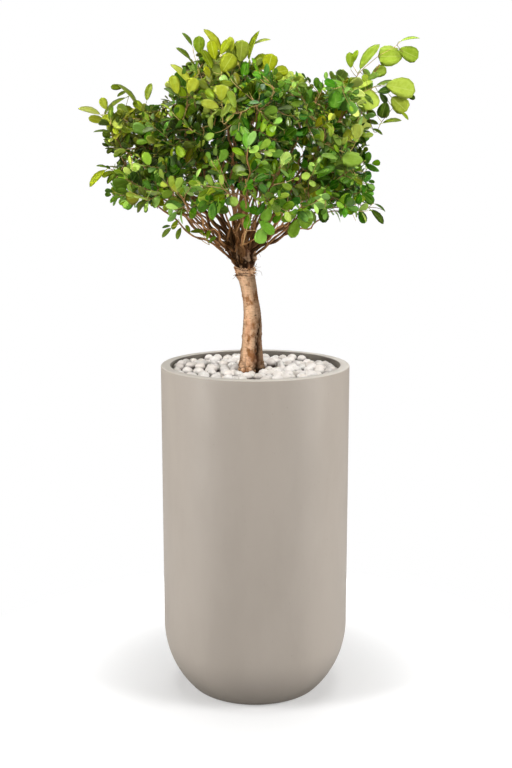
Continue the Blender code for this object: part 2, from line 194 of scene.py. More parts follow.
# ============================================================ meshes
@dataclass
class JoinedMesh:
    """Many small shapes gathered as arrays and made one mesh."""

    shapes: list[tuple[Array, ...]] = field(default_factory=list)
    count: int = 0

    def add(self, points: Array, corners: Array, sizes: Array, uvs: Array, tints: Array) -> None:
        """Add a shape.

        Args:
            points: one point to a row.
            corners: the point of each face corner, numbered from 0 in this shape.
            sizes: how many corners each face has.
            uvs: one UV pair for each corner.
            tints: one colour with alpha for each corner, read by the materials as plain numbers.
        """
        self.shapes.append((points, corners + self.count, sizes, uvs, tints))
        self.count += len(points)

    def tube(self, path: Array, radii: Array, sides: int, tint: Sequence[float]) -> None:
        """Add a closed tube along a path.

        Args:
            path: its centre line, one point to a row.
            radii: its radius at each point.
            sides: how many faces it has round it.
            tint: its random number, how dark it is at its foot, as painted shade, and further on, how young
                it is
            at its foot and at its tip.
        """
        chance, foot_shade, dark, foot_young, tip_young = tint
        along = unit(np.gradient(path, axis=0))
        side = square_to(along[0])
        turns = np.linspace(0.0, 2 * pi, sides, endpoint=False)[:, None]
        rings = []
        for point, way, radius in zip(path, along, radii):
            side = unit(side - way * float(side @ way))
            rings.append(point + radius * (np.cos(turns) * side + np.sin(turns) * np.cross(way, side)))
        last = len(path) - 1
        ring, place = np.meshgrid(np.arange(last), np.arange(sides), indexing="ij")
        following = (place + 1) % sides
        low, high = ring * sides, (ring + 1) * sides
        quads = np.stack([low + place, low + following, high + following, high + place], -1)
        caps = np.concatenate([np.arange(sides)[::-1], last * sides + np.arange(sides)])
        far = lengths_along(path)
        girth = 2 * pi * float(np.mean(radii))
        across = np.stack([place, place + 1, place + 1, place], -1) / sides * girth
        up = np.stack([far[ring], far[ring], far[ring + 1], far[ring + 1]], -1)
        height = np.concatenate([up.reshape(-1), np.zeros(sides), np.full(sides, far[-1])]) / far[-1]
        tints = np.ones((len(height), 4))
        tints[:, 0] = chance
        # Painted shade: darkest at the limb's foot and fading along it.
        tints[:, 1] = dark + (foot_shade - dark) * (1 - height) ** 3
        tints[:, 2] = foot_young + (tip_young - foot_young) * height
        sizes = np.concatenate([np.full(last * sides, 4), [sides, sides]])
        uvs = np.concatenate([np.stack([across, up], -1).reshape(-1, 2), np.zeros((2 * sides, 2))])
        self.add(np.concatenate(rings), np.concatenate([quads.reshape(-1), caps]), sizes, uvs, tints)

    def build(self, name: str) -> Piece:
        """Make the mesh and its object.

        Args:
            name: the piece's name.

        Returns:
            The object, linked to the scene and shaded smooth.
        """
        points, corners, sizes, uvs, tints = (np.concatenate(rows) for rows in zip(*self.shapes))
        mesh = bpy.data.meshes.new(name)
        mesh.vertices.add(self.count)
        mesh.loops.add(len(corners))
        mesh.polygons.add(len(sizes))
        mesh.vertices.foreach_set("co", points.astype(np.float32).reshape(-1))
        mesh.loops.foreach_set("vertex_index", corners.astype(np.int32))
        mesh.polygons.foreach_set("loop_start", (np.cumsum(sizes) - sizes).astype(np.int32))
        mesh.polygons.foreach_set("loop_total", sizes.astype(np.int32))
        mesh.polygons.foreach_set("use_smooth", np.full(len(sizes), True))
        mesh.update(calc_edges=True)
        uv = mesh.uv_layers.new(name="UVMap")
        uv.data.foreach_set("uv", uvs.astype(np.float32).reshape(-1))
        tint = mesh.color_attributes.new("tint", "FLOAT_COLOR", "CORNER")
        tint.data.foreach_set("color", tints.astype(np.float32).reshape(-1))
        return add_to_scene(name, mesh)


def add_to_scene(name: str, data: bpy.types.ID) -> Piece:
    """Put a mesh, a camera or a light into the scene.

    Args:
        name: the object's name.
        data: what it shows.

    Returns:
        The object.
    """
    obj = bpy.data.objects.new(name, data)
    bpy.context.scene.collection.objects.link(obj)
    return obj


def object_from(name: str, bm: Mesh, smooth: bool = True) -> Piece:
    """Turn a bmesh into an object.

    Args:
        name: the piece's name.
        bm: the bmesh, which is freed.
        smooth: whether its faces are shaded smooth.

    Returns:
        The object, linked to the scene.
    """
    mesh = bpy.data.meshes.new(name)
    for face in bm.faces:
        face.smooth = smooth
    bm.to_mesh(mesh)
    bm.free()
    return add_to_scene(name, mesh)


def place_piece(obj: Piece, slot: str, finish: Material, *nodes: str) -> Piece:
    """Dress a piece and tie it to the frame.

    Args:
        obj: the piece.
        slot: the record's material slot; not used.
        finish: its material.
        nodes: the CAD nodes that it stands for.

    Returns:
        The piece.
    """
    obj.data.materials.clear()
    obj.data.materials.append(finish)
    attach(obj, BODY)
    if nodes:
        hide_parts(*nodes)
    LOG.info("%s: %d faces", obj.name, len(obj.data.polygons))
    return obj


# ============================================================ shader helpers
class Nodes:
    """A thin wrapper round a node tree, so that a finish reads as a list of what feeds what."""

    def __init__(self, tree: bpy.types.NodeTree) -> None:
        """Start from an empty tree."""
        self.tree = tree
        tree.nodes.clear()

    def add(self, kind: str, settings: dict | None = None, **inputs: object) -> bpy.types.Node:
        """Add a node.

        Args:
            kind: its type, without the leading ShaderNode.
            settings: values for its own properties.
            inputs: values or output sockets for its inputs, by name with _ for a space.

        Returns:
            The node.
        """
        node = self.tree.nodes.new(f"ShaderNode{kind}")
        for name, value in (settings or {}).items():
            setattr(node, name, value)
        for name, value in inputs.items():
            self.feed(node.inputs[name.replace("_", " ")], value)
        return node

    def feed(self, socket: Socket, value: object) -> None:
        """Link an output to an input, or set the input's own value.

        Args:
            socket: the input.
            value: an output, a number, a vector, or a colour with or without its alpha.
        """
        if isinstance(value, Socket):
            self.tree.links.new(value, socket)
        else:
            opaque = socket.type == "RGBA" and len(value) == 3
            socket.default_value = (*value, 1.0) if opaque else value

    def math(self, operation: str, first: object, second: object = 0.0, clamp: bool = False) -> Socket:
        """Work out a sum.

        Args:
            operation: its name.
            first: the first number.
            second: the second, where there is one.
            clamp: whether the result is held from 0 to 1.

        Returns:
            The result.
        """
        node = self.add("Math", {"operation": operation, "use_clamp": clamp})
        self.feed(node.inputs[0], first)
        self.feed(node.inputs[1], second)
        return node.outputs[0]

    def times(self, first: object, second: object) -> Socket:
        """One number times another."""
        return self.math("MULTIPLY", first, second)

    def dealt(self, chance: object, share: float) -> Socket:
        """A second random number from 0 to 1, made from the first."""
        return self.math("FRACT", self.times(chance, share))

    def mix(self, share: object, first: object, second: object, blend: str = "MIX") -> Socket:
        """Mix two colours.

        Args:
            share: how much of the second shows, from 0 to 1.
            first: the colour below.
            second: the colour above.
            blend: how it is laid on.

        Returns:
            The mixed colour.
        """
        node = self.add("Mix", {"data_type": "RGBA", "blend_type": blend})
        for index, item in ((0, share), (6, first), (7, second)):
            self.feed(node.inputs[index], item)
        return node.outputs[2]

    def over(self, base: object, colour: object, mask: object, amount: float) -> Socket:
        """A colour laid over another where a mask shows, at an amount of its strength."""
        return self.mix(self.times(mask, amount), base, colour)

    def shaded(self, colour: object, share: object, low: float, high: float) -> Socket:
        """Make a colour darker or lighter.

        Args:
            colour: the colour.
            share: a number from 0 to 1.
            low: what the brightness is multiplied by where the share is 0.
            high: the same where it is 1.

        Returns:
            The shaded colour.
        """
        grey = self.fit(share, 0.0, 1.0, low, high)
        grey = self.add("CombineColor", Red=grey, Green=grey, Blue=grey).outputs[0]
        return self.mix(1.0, colour, grey, "MULTIPLY")

    def ramp(self, share: object, stops: Sequence[Colour]) -> Socket:
        """Read a colour off a ramp.

        Args:
            share: the place on it, from 0 to 1.
            stops: its colours, evenly spaced.

        Returns:
            The colour.
        """
        node = self.add("ValToRGB", Fac=share)
        elements = node.color_ramp.elements
        while len(elements) < len(stops):
            elements.new(1.0)
        for number, (element, colour) in enumerate(zip(elements, stops)):
            element.position = number / (len(stops) - 1)
            element.color = (*colour, 1.0)
        return node.outputs[0]

    def fit(self, value: object, low: float, high: float, first: float = 0.0, last: float = 1.0) -> Socket:
        """Map a number smoothly from one range to another.

        Args:
            value: the number.
            low: where its range starts.
            high: where its range ends.
            first: the result at or below the start.
            last: the result at or above the end.

        Returns:
            The result.
        """
        node = self.add("MapRange", {"interpolation_type": "SMOOTHSTEP"})
        for index, item in enumerate((value, low, high, first, last)):
            self.feed(node.inputs[index], item)
        return node.outputs[0]

    def noise(self, vector: object, scale: object, detail: float = 3.0, roughness: float = 0.55) -> Socket:
        """Noise from 0 to 1."""
        return self.add("TexNoise", Vector=vector, Scale=scale, Detail=detail, Roughness=roughness).outputs[0]

    def stretched(self, vector: object, scale: tuple[float, float, float]) -> Socket:
        """A vector with each of its parts scaled."""
        return self.add("Mapping", {"vector_type": "POINT"}, Vector=vector, Scale=scale).outputs[0]

    def length(self, vector: object) -> Socket:
        """Measure a vector.

        Args:
            vector: the vector.

        Returns:
            Its length.
        """
        node = self.add("VectorMath", {"operation": "LENGTH"})
        self.feed(node.inputs[0], vector)
        return node.outputs["Value"]

    def tint(self) -> list[Socket]:
        """The four numbers that a piece carries at each corner."""
        kept = self.add("Attribute", {"attribute_name": "tint"})
        return [*self.add("SeparateColor", Color=kept.outputs["Color"]).outputs, kept.outputs["Alpha"]]

    def group(self, tree: bpy.types.NodeTree, **inputs: object) -> Outputs:
        """Place a node group.

        Args:
            tree: the group.
            inputs: values or output sockets for its inputs, by name with _ for a space.

        Returns:
            Its outputs, by name.
        """
        return self.add("Group", {"node_tree": tree}, **inputs).outputs

    def mottled(
        self, effects: "Effects", place: Socket, patch: float, speck: float, amount: float
    ) -> Outputs:
        """Place the group of clouds and specks, with the scale of each and the amount of specks."""
        scales = {"Patch_Scale": patch, "Speck_Scale": speck, "Speck_Amount": amount}
        return self.group(effects.mottle, Vector=place, **scales)

    def surface(self, bump: object, strength: float, distance: float, **inputs: object) -> None:
        """End the tree in a Principled shader.

        Args:
            bump: the height that its normal follows, or None.
            strength: the share of that height that shows.
            distance: the height in metres that 1 stands for.
            inputs: values or sockets for the shader's inputs, by name with _ for a space.
        """
        shader = self.add("BsdfPrincipled", **inputs)
        if bump is not None:
            node = self.add("Bump", Strength=strength, Distance=distance, Height=bump)
            self.feed(shader.inputs["Normal"], node.outputs["Normal"])
        self.add("OutputMaterial", Surface=shader.outputs["BSDF"])


def new_material(name: str) -> tuple[Material, Nodes]:
    """Start a material.

    Args:
        name: its name.

    Returns:
        The material and its empty node tree.
    """
    material = bpy.data.materials.new(name)
    material.use_nodes = True
    return material, Nodes(material.node_tree)


@dataclass
class Effect:
    """A shader node group in the making, shared by several finishes."""

    name: str
    inputs: dict[str, float | None]

    def __post_init__(self) -> None:
        """Start the group: an input with a value is a number, and one without is a vector."""
        self.tree = bpy.data.node_groups.new(self.name, "ShaderNodeTree")
        for label, value in self.inputs.items():
            kind = "NodeSocketVector" if value is None else "NodeSocketFloat"
            socket = self.tree.interface.new_socket(name=label, in_out="INPUT", socket_type=kind)
            if value is not None:
                socket.default_value = value
        self.nodes = Nodes(self.tree)
        self.given = self.tree.nodes.new("NodeGroupInput").outputs

    def close(self, **outputs: Socket) -> bpy.types.NodeTree:
        """Give the group its outputs.

        Args:
            outputs: the numbers that it puts out, by name.

        Returns:
            The group.
        """
        for label in outputs:
            self.tree.interface.new_socket(name=label, in_out="OUTPUT", socket_type="NodeSocketFloat")
        end = self.tree.nodes.new("NodeGroupOutput")
        for label, value in outputs.items():
            self.nodes.feed(end.inputs[label], value)
        return self.tree


class Effects:
    """The node groups that several finishes share."""

    def __init__(self) -> None:
        """Build every group once."""
        self.mottle = self._mottle()
        self.bark = self._bark()
        self.venation = self._venation()

    @staticmethod
    def _mottle() -> bpy.types.NodeTree:
        """Cloudy patches over a finer speckle.

        Returns:
            A group that puts out a mask of the patches, a mask of the specks and a height.
        """
        inputs = {"Vector": None, "Patch Scale": 8.0, "Speck Scale": 300.0, "Speck Amount": 0.3}
        effect = Effect("mottle", inputs)
        nodes, given = effect.nodes, effect.given
        patches = nodes.noise(given["Vector"], given["Patch Scale"], 4.0)
        fine = nodes.noise(given["Vector"], given["Speck Scale"], 2.0, 0.6)
        floor = nodes.math("SUBTRACT", 0.72, nodes.times(given["Speck Amount"], 0.2))
        specks = nodes.math("MULTIPLY", nodes.math("SUBTRACT", fine, floor), 9.0, clamp=True)
        height = nodes.math("SUBTRACT", nodes.times(fine, 0.6), nodes.times(specks, 0.5))
        height = nodes.math("ADD", height, nodes.times(patches, 0.8))
        return effect.close(Patches=nodes.fit(patches, 0.32, 0.68), Specks=specks, Height=height)

    @staticmethod
    def _bark() -> bpy.types.NodeTree:
        """Bark over UVs in metres: marks that run round a limb and splits that run up it.

        Returns:
            A group that puts out masks of the rings, the splits and the flecks, and a height.
        """
        effect = Effect("bark", {"UV": None, "Ring Scale": 240.0, "Split Scale": 260.0, "Roughness": 0.6})
        nodes, given = effect.nodes, effect.given
        rings = nodes.noise(nodes.stretched(given["UV"], (0.22, 1.0, 1.0)), given["Ring Scale"], 3.0, 0.6)
        splits = nodes.noise(nodes.stretched(given["UV"], (1.0, 0.1, 1.0)), given["Split Scale"], 4.0, 0.65)
        flecks = nodes.noise(nodes.stretched(given["UV"], (0.38, 1.0, 1.0)), 330.0, 3.0, 0.6)
        cuts = nodes.times(nodes.fit(splits, 0.52, 0.72), -0.7)
        return effect.close(
            Rings=nodes.fit(rings, 0.42, 0.66),
            Splits=nodes.fit(splits, 0.5, 0.7),
            Flecks=nodes.fit(flecks, 0.58, 0.68),
            Height=nodes.math("ADD", nodes.times(rings, given["Roughness"]), cuts),
        )

    @staticmethod
    def _venation() -> bpy.types.NodeTree:
        """A leaf's veins over its own UVs.

        Returns:
            A group that puts out masks of the midrib and of the side veins, and a height.
        """
        effect = Effect("venation", {"UV": None, "Side Veins": 9.0})
        nodes, given = effect.nodes, effect.given
        split = nodes.add("SeparateXYZ", Vector=given["UV"]).outputs
        off = nodes.math("ABSOLUTE", nodes.math("SUBTRACT", split[0], 0.5))
        midrib = nodes.fit(off, 0.012, 0.045, 1.0, 0.0)
        slant = nodes.math("SUBTRACT", split[1], nodes.times(off, 0.55))
        line = nodes.math("SUBTRACT", nodes.math("FRACT", nodes.times(slant, given["Side Veins"])), 0.5)
        line = nodes.fit(nodes.math("ABSOLUTE", line), 0.02, 0.12, 1.0, 0.0)
        veins = nodes.times(line, nodes.fit(off, 0.3, 0.48, 1.0, 0.0))
        height = nodes.math("ADD", nodes.times(midrib, -0.8), nodes.times(veins, -0.35))
        return effect.close(Midrib=midrib, Veins=veins, Height=height)


# ============================================================ finishes
@dataclass(frozen=True)
class PlanterFinish:
    """Matt taupe stoneware, faintly clouded, with pin holes, painted light on its rim and painted shade
    inside and at its foot.
    """

    effects: Effects
    pale: Colour = (0.4, 0.35, 0.3)
    deep: Colour = (0.372, 0.325, 0.277)
    # Painted light: the paler colour of the rim's top.
    painted_rim_light: Colour = (0.8, 0.745, 0.67)
    # The colour of the pin-hole specks, and of the painted shade on the inner wall and towards the foot.
    inside: Colour = (0.15, 0.13, 0.105)

    def build(self, rim_height: float, inner_radius: float) -> Material:
        """Make the material.

        Args:
            rim_height: the height of the planter's rim.
            inner_radius: the radius of its inner wall.

        Returns:
            The material.
        """
        material, nodes = new_material("planter_stoneware")
        place = nodes.add("TexCoord").outputs["Object"]
        clouds = nodes.stretched(place, (1.0, 1.0, 0.35))
        mottle = nodes.mottled(self.effects, clouds, 9.0, 420.0, 0.15)
        x, y, height = nodes.add("SeparateXYZ", Vector=place).outputs
        out = nodes.length(nodes.add("CombineXYZ", X=x, Y=y).outputs[0])
        body = nodes.mix(mottle["Patches"], self.deep, self.pale)
        body = nodes.over(body, self.inside, mottle["Specks"], 0.35)
        # Painted light on the rim's top.
        body = nodes.over(body, self.painted_rim_light, nodes.fit(height, rim_height - 0.0022, rim_height - 0.0004), 0.8)
        # Painted shade on the inner wall, from halfway up to the rim.
        within = nodes.fit(out, inner_radius + 0.0005, inner_radius + 0.003, 1.0, 0.0)
        within = nodes.times(within, nodes.fit(height, rim_height / 2, rim_height / 2 + 0.1))
        body = nodes.mix(within, body, self.inside)
        # Painted shade: darker towards the foot.
        body = nodes.mix(nodes.fit(height, 0.0, 0.12, 0.7, 0.0), body, self.inside)
        matt = nodes.fit(mottle["Patches"], 0.0, 1.0, 0.56, 0.48)
        looks = {"Base_Color": body, "Roughness": matt, "Specular_IOR_Level": 0.42}
        nodes.surface(mottle["Height"], 0.22, 0.0006, **looks)
        return material


@dataclass(frozen=True)
class SoilFinish:
    """Dark moist compost."""

    effects: Effects
    dark: Colour = (0.02, 0.013, 0.009)
    light: Colour = (0.105, 0.062, 0.036)

    def build(self) -> Material:
        """Make the material.

        Returns:
            The material.
        """
        material, nodes = new_material("potting_compost")
        place = nodes.add("TexCoord").outputs["Object"]
        mottle = nodes.mottled(self.effects, place, 90.0, 340.0, 0.6)
        colour = nodes.mix(mottle["Patches"], self.dark, self.light)
        nodes.surface(mottle["Height"], 0.9, 0.003, Base_Color=colour, Roughness=0.95)
        return material


@dataclass(frozen=True)
class PebbleFinish:
    """Tumbled off-white stone, each a little warmer or cooler than the next.

    The tint's first number is how warm a stone is, its second how stained it is, and on the hidden lower
    layer how dark with painted shade, and its third how much painted shade darkens a place towards its
    underside.
    """

    effects: Effects
    cool: Colour = (1.0, 0.955, 0.912)
    warm: Colour = (1.0, 0.92, 0.85)
    # A random stain on the upper stones, and painted shade over the whole of the hidden lower layer.
    stain_and_shade: Colour = (0.24, 0.17, 0.115)
    # The colour of the painted shade on each stone's underside.
    soil: Colour = (0.06, 0.04, 0.024)

    def build(self) -> Material:
        """Make the material.

        Returns:
            The material.
        """
        material, nodes = new_material("tumbled_pebble")
        place = nodes.add("TexCoord").outputs["Object"]
        mottle = nodes.mottled(self.effects, place, 70.0, 700.0, 0.4)
        warmth, stain_and_shade_share, shade, _ = nodes.tint()
        colour = nodes.mix(warmth, self.cool, self.warm)
        spread = nodes.fit(mottle["Patches"], 0.0, 1.0, 0.55, 1.0)
        # A random stain, and on the lower layer painted shade.
        colour = nodes.mix(nodes.times(spread, stain_and_shade_share), colour, self.stain_and_shade)
        # Painted shade on each stone's underside.
        colour = nodes.mix(shade, colour, self.soil)
        colour = nodes.over(colour, self.stain_and_shade, mottle["Specks"], 0.15)
        matt = nodes.fit(mottle["Patches"], 0.0, 1.0, 0.55, 0.72)
        nodes.surface(mottle["Height"], 0.35, 0.0008, Base_Color=colour, Roughness=matt)
        return material


@dataclass(frozen=True)
class BarkFinish:
    """Bark on limbs that carry their own UVs in metres.

    The tint's first number is how light the bark is: a random value for each limb, and painted light on the
    trunk and its collar. Its second is how dark the bark is: the dark fibrous knuckle, and painted shade in
    hollows, creases, crevices and the fold and at the feet of limbs. Its third is how young the wood is.
    """

    effects: Effects
    name: str
    pale: Colour
    mid: Colour
    dark: Colour
    young: Colour
    fleck: Colour = (0.2, 0.085, 0.034)
    ring_scale: float = 240.0
    split_scale: float = 260.0
    split_amount: float = 0.75
    fleck_amount: float = 0.45
    relief: float = 0.0012

    def build(self) -> Material:
        """Make the material.

        Returns:
            The material.
        """
        material, nodes = new_material(self.name)
        coords = nodes.add("TexCoord").outputs
        scales = {"Ring_Scale": self.ring_scale, "Split_Scale": self.split_scale}
        bark = nodes.group(self.effects.bark, UV=coords["UV"], **scales)
        chance, dark, young, _ = nodes.tint()
        patches = nodes.noise(nodes.stretched(coords["Object"], (1.0, 1.0, 0.6)), 62.0, 4.0, 0.6)
        colour = nodes.mix(nodes.fit(patches, 0.47, 0.64), self.pale, self.mid)
        colour = nodes.over(colour, self.mid, bark["Rings"], 0.28)
        colour = nodes.over(colour, self.dark, bark["Splits"], self.split_amount)
        colour = nodes.over(colour, self.fleck, bark["Flecks"], self.fleck_amount)
        # The dark fibrous knuckle, with painted shade in hollows, creases, crevices and the fold and at the
        # feet of limbs.
        colour = nodes.mix(dark, colour, self.dark)
        colour = nodes.mix(young, colour, self.young)
        # Lighter or darker by the first number: each limb's own tone, and painted light on the trunk and its
        # collar.
        colour = nodes.shaded(colour, chance, 0.42, 1.42)
        matt = nodes.fit(bark["Splits"], 0.0, 1.0, 0.72, 0.9)
        looks = {"Base_Color": colour, "Roughness": matt, "Specular_IOR_Level": 0.04}
        nodes.surface(bark["Height"], 0.8, self.relief, **looks)
        return material


@dataclass(frozen=True)
class LeafFinish:
    """A leathery leaf with a pale midrib and a duller underside.

    The tint's first number is the leaf's age from dark to young, with painted shade deep in the crown and
    painted light low down, its second a random value for each leaf, its third is 1 on the underside, and its
    alpha is how warm the green is.
    """

    effects: Effects
    name: str
    rib: Colour
    under: Colour
    gloss: float = 0.3
    coat: float = 1.0
    # A cool blue-green laid over some leaves as a painted reflection of the sky.
    painted_sky_reflection: Colour = (0.095, 0.235, 0.13)
    sheen: Colour = (0.55, 0.85, 0.15)
    # The greens from the oldest leaf to the youngest, at their coolest and at their warmest.
    # The youngest greens are made brighter in part as painted light shining through the leaf.
    cool: tuple[Colour, ...] = (
        (0.003, 0.03, 0.0), (0.014, 0.1, 0.0), (0.07, 0.285, 0.006), (0.225, 0.475, 0.058),
        (0.33, 0.59, 0.12),
    )
    warm: tuple[Colour, ...] = (
        (0.038, 0.026, 0.0), (0.108, 0.098, 0.0), (0.255, 0.275, 0.004), (0.44, 0.475, 0.056),
        (0.58, 0.62, 0.16),
    )

    def build(self) -> Material:
        """Make the material.

        Returns:
            The material.
        """
        material, nodes = new_material(self.name)
        coords = nodes.add("TexCoord").outputs
        veins = nodes.group(self.effects.venation, UV=coords["UV"])
        age, chance, under, warmth = nodes.tint()
        blotch = nodes.fit(nodes.noise(coords["Object"], 120.0, 2.0), 0.3, 0.7, -0.05, 0.05)
        age = nodes.math("ADD", age, blotch, clamp=True)
        colour = nodes.mix(warmth, nodes.ramp(age, self.cool), nodes.ramp(age, self.warm))
        colour = nodes.over(colour, self.under, under, 0.4)
        colour = nodes.over(colour, self.rib, veins["Veins"], 0.1)
        colour = nodes.over(colour, self.rib, veins["Midrib"], 0.35)
        # Painted reflection of the sky on some leaves.
        colour = nodes.mix(nodes.fit(nodes.dealt(chance, 5.0), 0.6, 1.0, 0.0, 0.2), colour, self.painted_sky_reflection)
        colour = nodes.shaded(colour, chance, 0.55, 1.35)
        polish = nodes.fit(nodes.dealt(chance, 7.0), 0.0, 1.0, self.gloss - 0.15, self.gloss + 0.13)
        nodes.surface(
            veins["Height"],
            0.4,
            0.0004,
            Base_Color=colour,
            Roughness=nodes.math("ADD", polish, nodes.times(under, 0.25)),
            Specular_IOR_Level=0.26,
            Specular_Tint=self.sheen,
            Coat_Weight=nodes.fit(nodes.dealt(chance, 13.0), 0.66, 1.0, 0.0, self.coat),
            Coat_Roughness=0.2,
        )
        return material


# ============================================================ the planter and its filling
@dataclass
class Planter:
    """The turned planter: a straight wall on a round bottom that is cut off flat."""

    finish: PlanterFinish
    foot_radius: float = 0.141
    wall: float = 0.021
    rim_rounding: float = 0.0032
    foot_rounding: float = 0.004
    steps: int = 160
    bowl_steps: int = 22

    def __post_init__(self) -> None:
        """Take the radius and the height from the frame."""
        low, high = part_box("planter")
        self.radius = (high.x - low.x) / 2
        self.height = high.z
        self.bowl_centre = sqrt(self.radius**2 - self.foot_radius**2)
        self.inner_radius = self.radius - self.wall

    def bowl(self, inset: float) -> list[tuple[float, float]]:
        """Work out the curve of the bottom.

        Args:
            inset: how far in from the outside it runs.

        Returns:
            Radii and heights, from its top down to the flat.
        """
        radius = self.radius - inset
        end = asin((self.bowl_centre - inset) / radius)
        angles = [end * i / self.bowl_steps for i in range(self.bowl_steps + 1)]
        return [(radius * cos(a), self.bowl_centre - radius * sin(a)) for a in angles]

    def build(self) -> Piece:
        """Spin the outline of the wall round the axis, round its edges and dress it.

        Returns:
            The piece.
        """
        outer = [(0.0, 0.0), *reversed(self.bowl(0.0)), (self.radius, self.height)]
        inner = [(self.inner_radius, self.height), *self.bowl(self.wall), (0.0, self.wall)]
        bm = bmesh.new()
        points = [bm.verts.new((radius, 0.0, height)) for radius, height in outer + inner]
        edges = [bm.edges.new(pair) for pair in zip(points, points[1:])]
        turn = {"cent": (0, 0, 0), "axis": (0, 0, 1), "angle": 2 * pi, "steps": self.steps, "use_merge": True}
        bmesh.ops.spin(bm, geom=points + edges, **turn)
        bmesh.ops.remove_doubles(bm, verts=bm.verts, dist=MERGED)
        bmesh.ops.recalc_face_normals(bm, faces=bm.faces)
        self._round(bm, lambda z: z > self.height - 1e-4, self.rim_rounding)
        self._round(bm, lambda z: z < 1e-4, self.foot_rounding)
        finish = self.finish.build(self.height, self.inner_radius)
        return place_piece(object_from("planter_shell", bm), "planter", finish, "planter")

    @staticmethod
    def _round(bm: Mesh, at_height: Callable[[float], bool], width: float) -> None:
        """Bevel the sharp rings at a height.

        Args:
            bm: the planter.
            at_height: whether a height is the one.
            width: the bevel's width.
        """
        sharp = [
            edge
            for edge in bm.edges
            if all(at_height(v.co.z) and v.co.to_2d().length > 0.01 for v in edge.verts)
            and edge.is_manifold
            and edge.calc_face_angle() > 0.3
        ]
        bmesh.ops.bevel(bm, geom=sharp, offset=width, affect="EDGES", segments=4, profile=0.5, material=-1)


@dataclass
class PottingSoil:
    """The compost: the carried-over solid, with a crumbly surface that shows between the pebbles."""

    finish: SoilFinish
    inner_radius: float
    gap: float = 0.0006
    crumb: float = 0.0035
    grain: float = 0.009

    def build(self) -> Piece:
        """Dress the solid and lay the crumbs on it.

        Returns:
            The crumbs' piece.
        """
        soil = self.finish.build()
        for slot in frame["nodes"]["potting_soil"].material_slots:
            slot.material = soil
        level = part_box("potting_soil")[1].z
        bm = bmesh.new()
        bmesh.ops.create_circle(bm, cap_ends=True, segments=96, radius=self.inner_radius - self.gap)
        bmesh.ops.triangulate(bm, faces=bm.faces[:])
        for _ in range(5):
            coarse = [edge for edge in bm.edges if edge.calc_length() > self.grain]
            bmesh.ops.subdivide_edges(bm, edges=coarse, cuts=1)
            bmesh.ops.triangulate(bm, faces=bm.faces)
        for vert in bm.verts:
            lumps = noise.noise(vert.co * 130) * 0.7 + noise.noise(vert.co * 310) * 0.45
            vert.co.z = level + self.crumb * (0.55 + 0.6 * lumps)
        return place_piece(object_from("soil_surface", bm), "soil", soil)


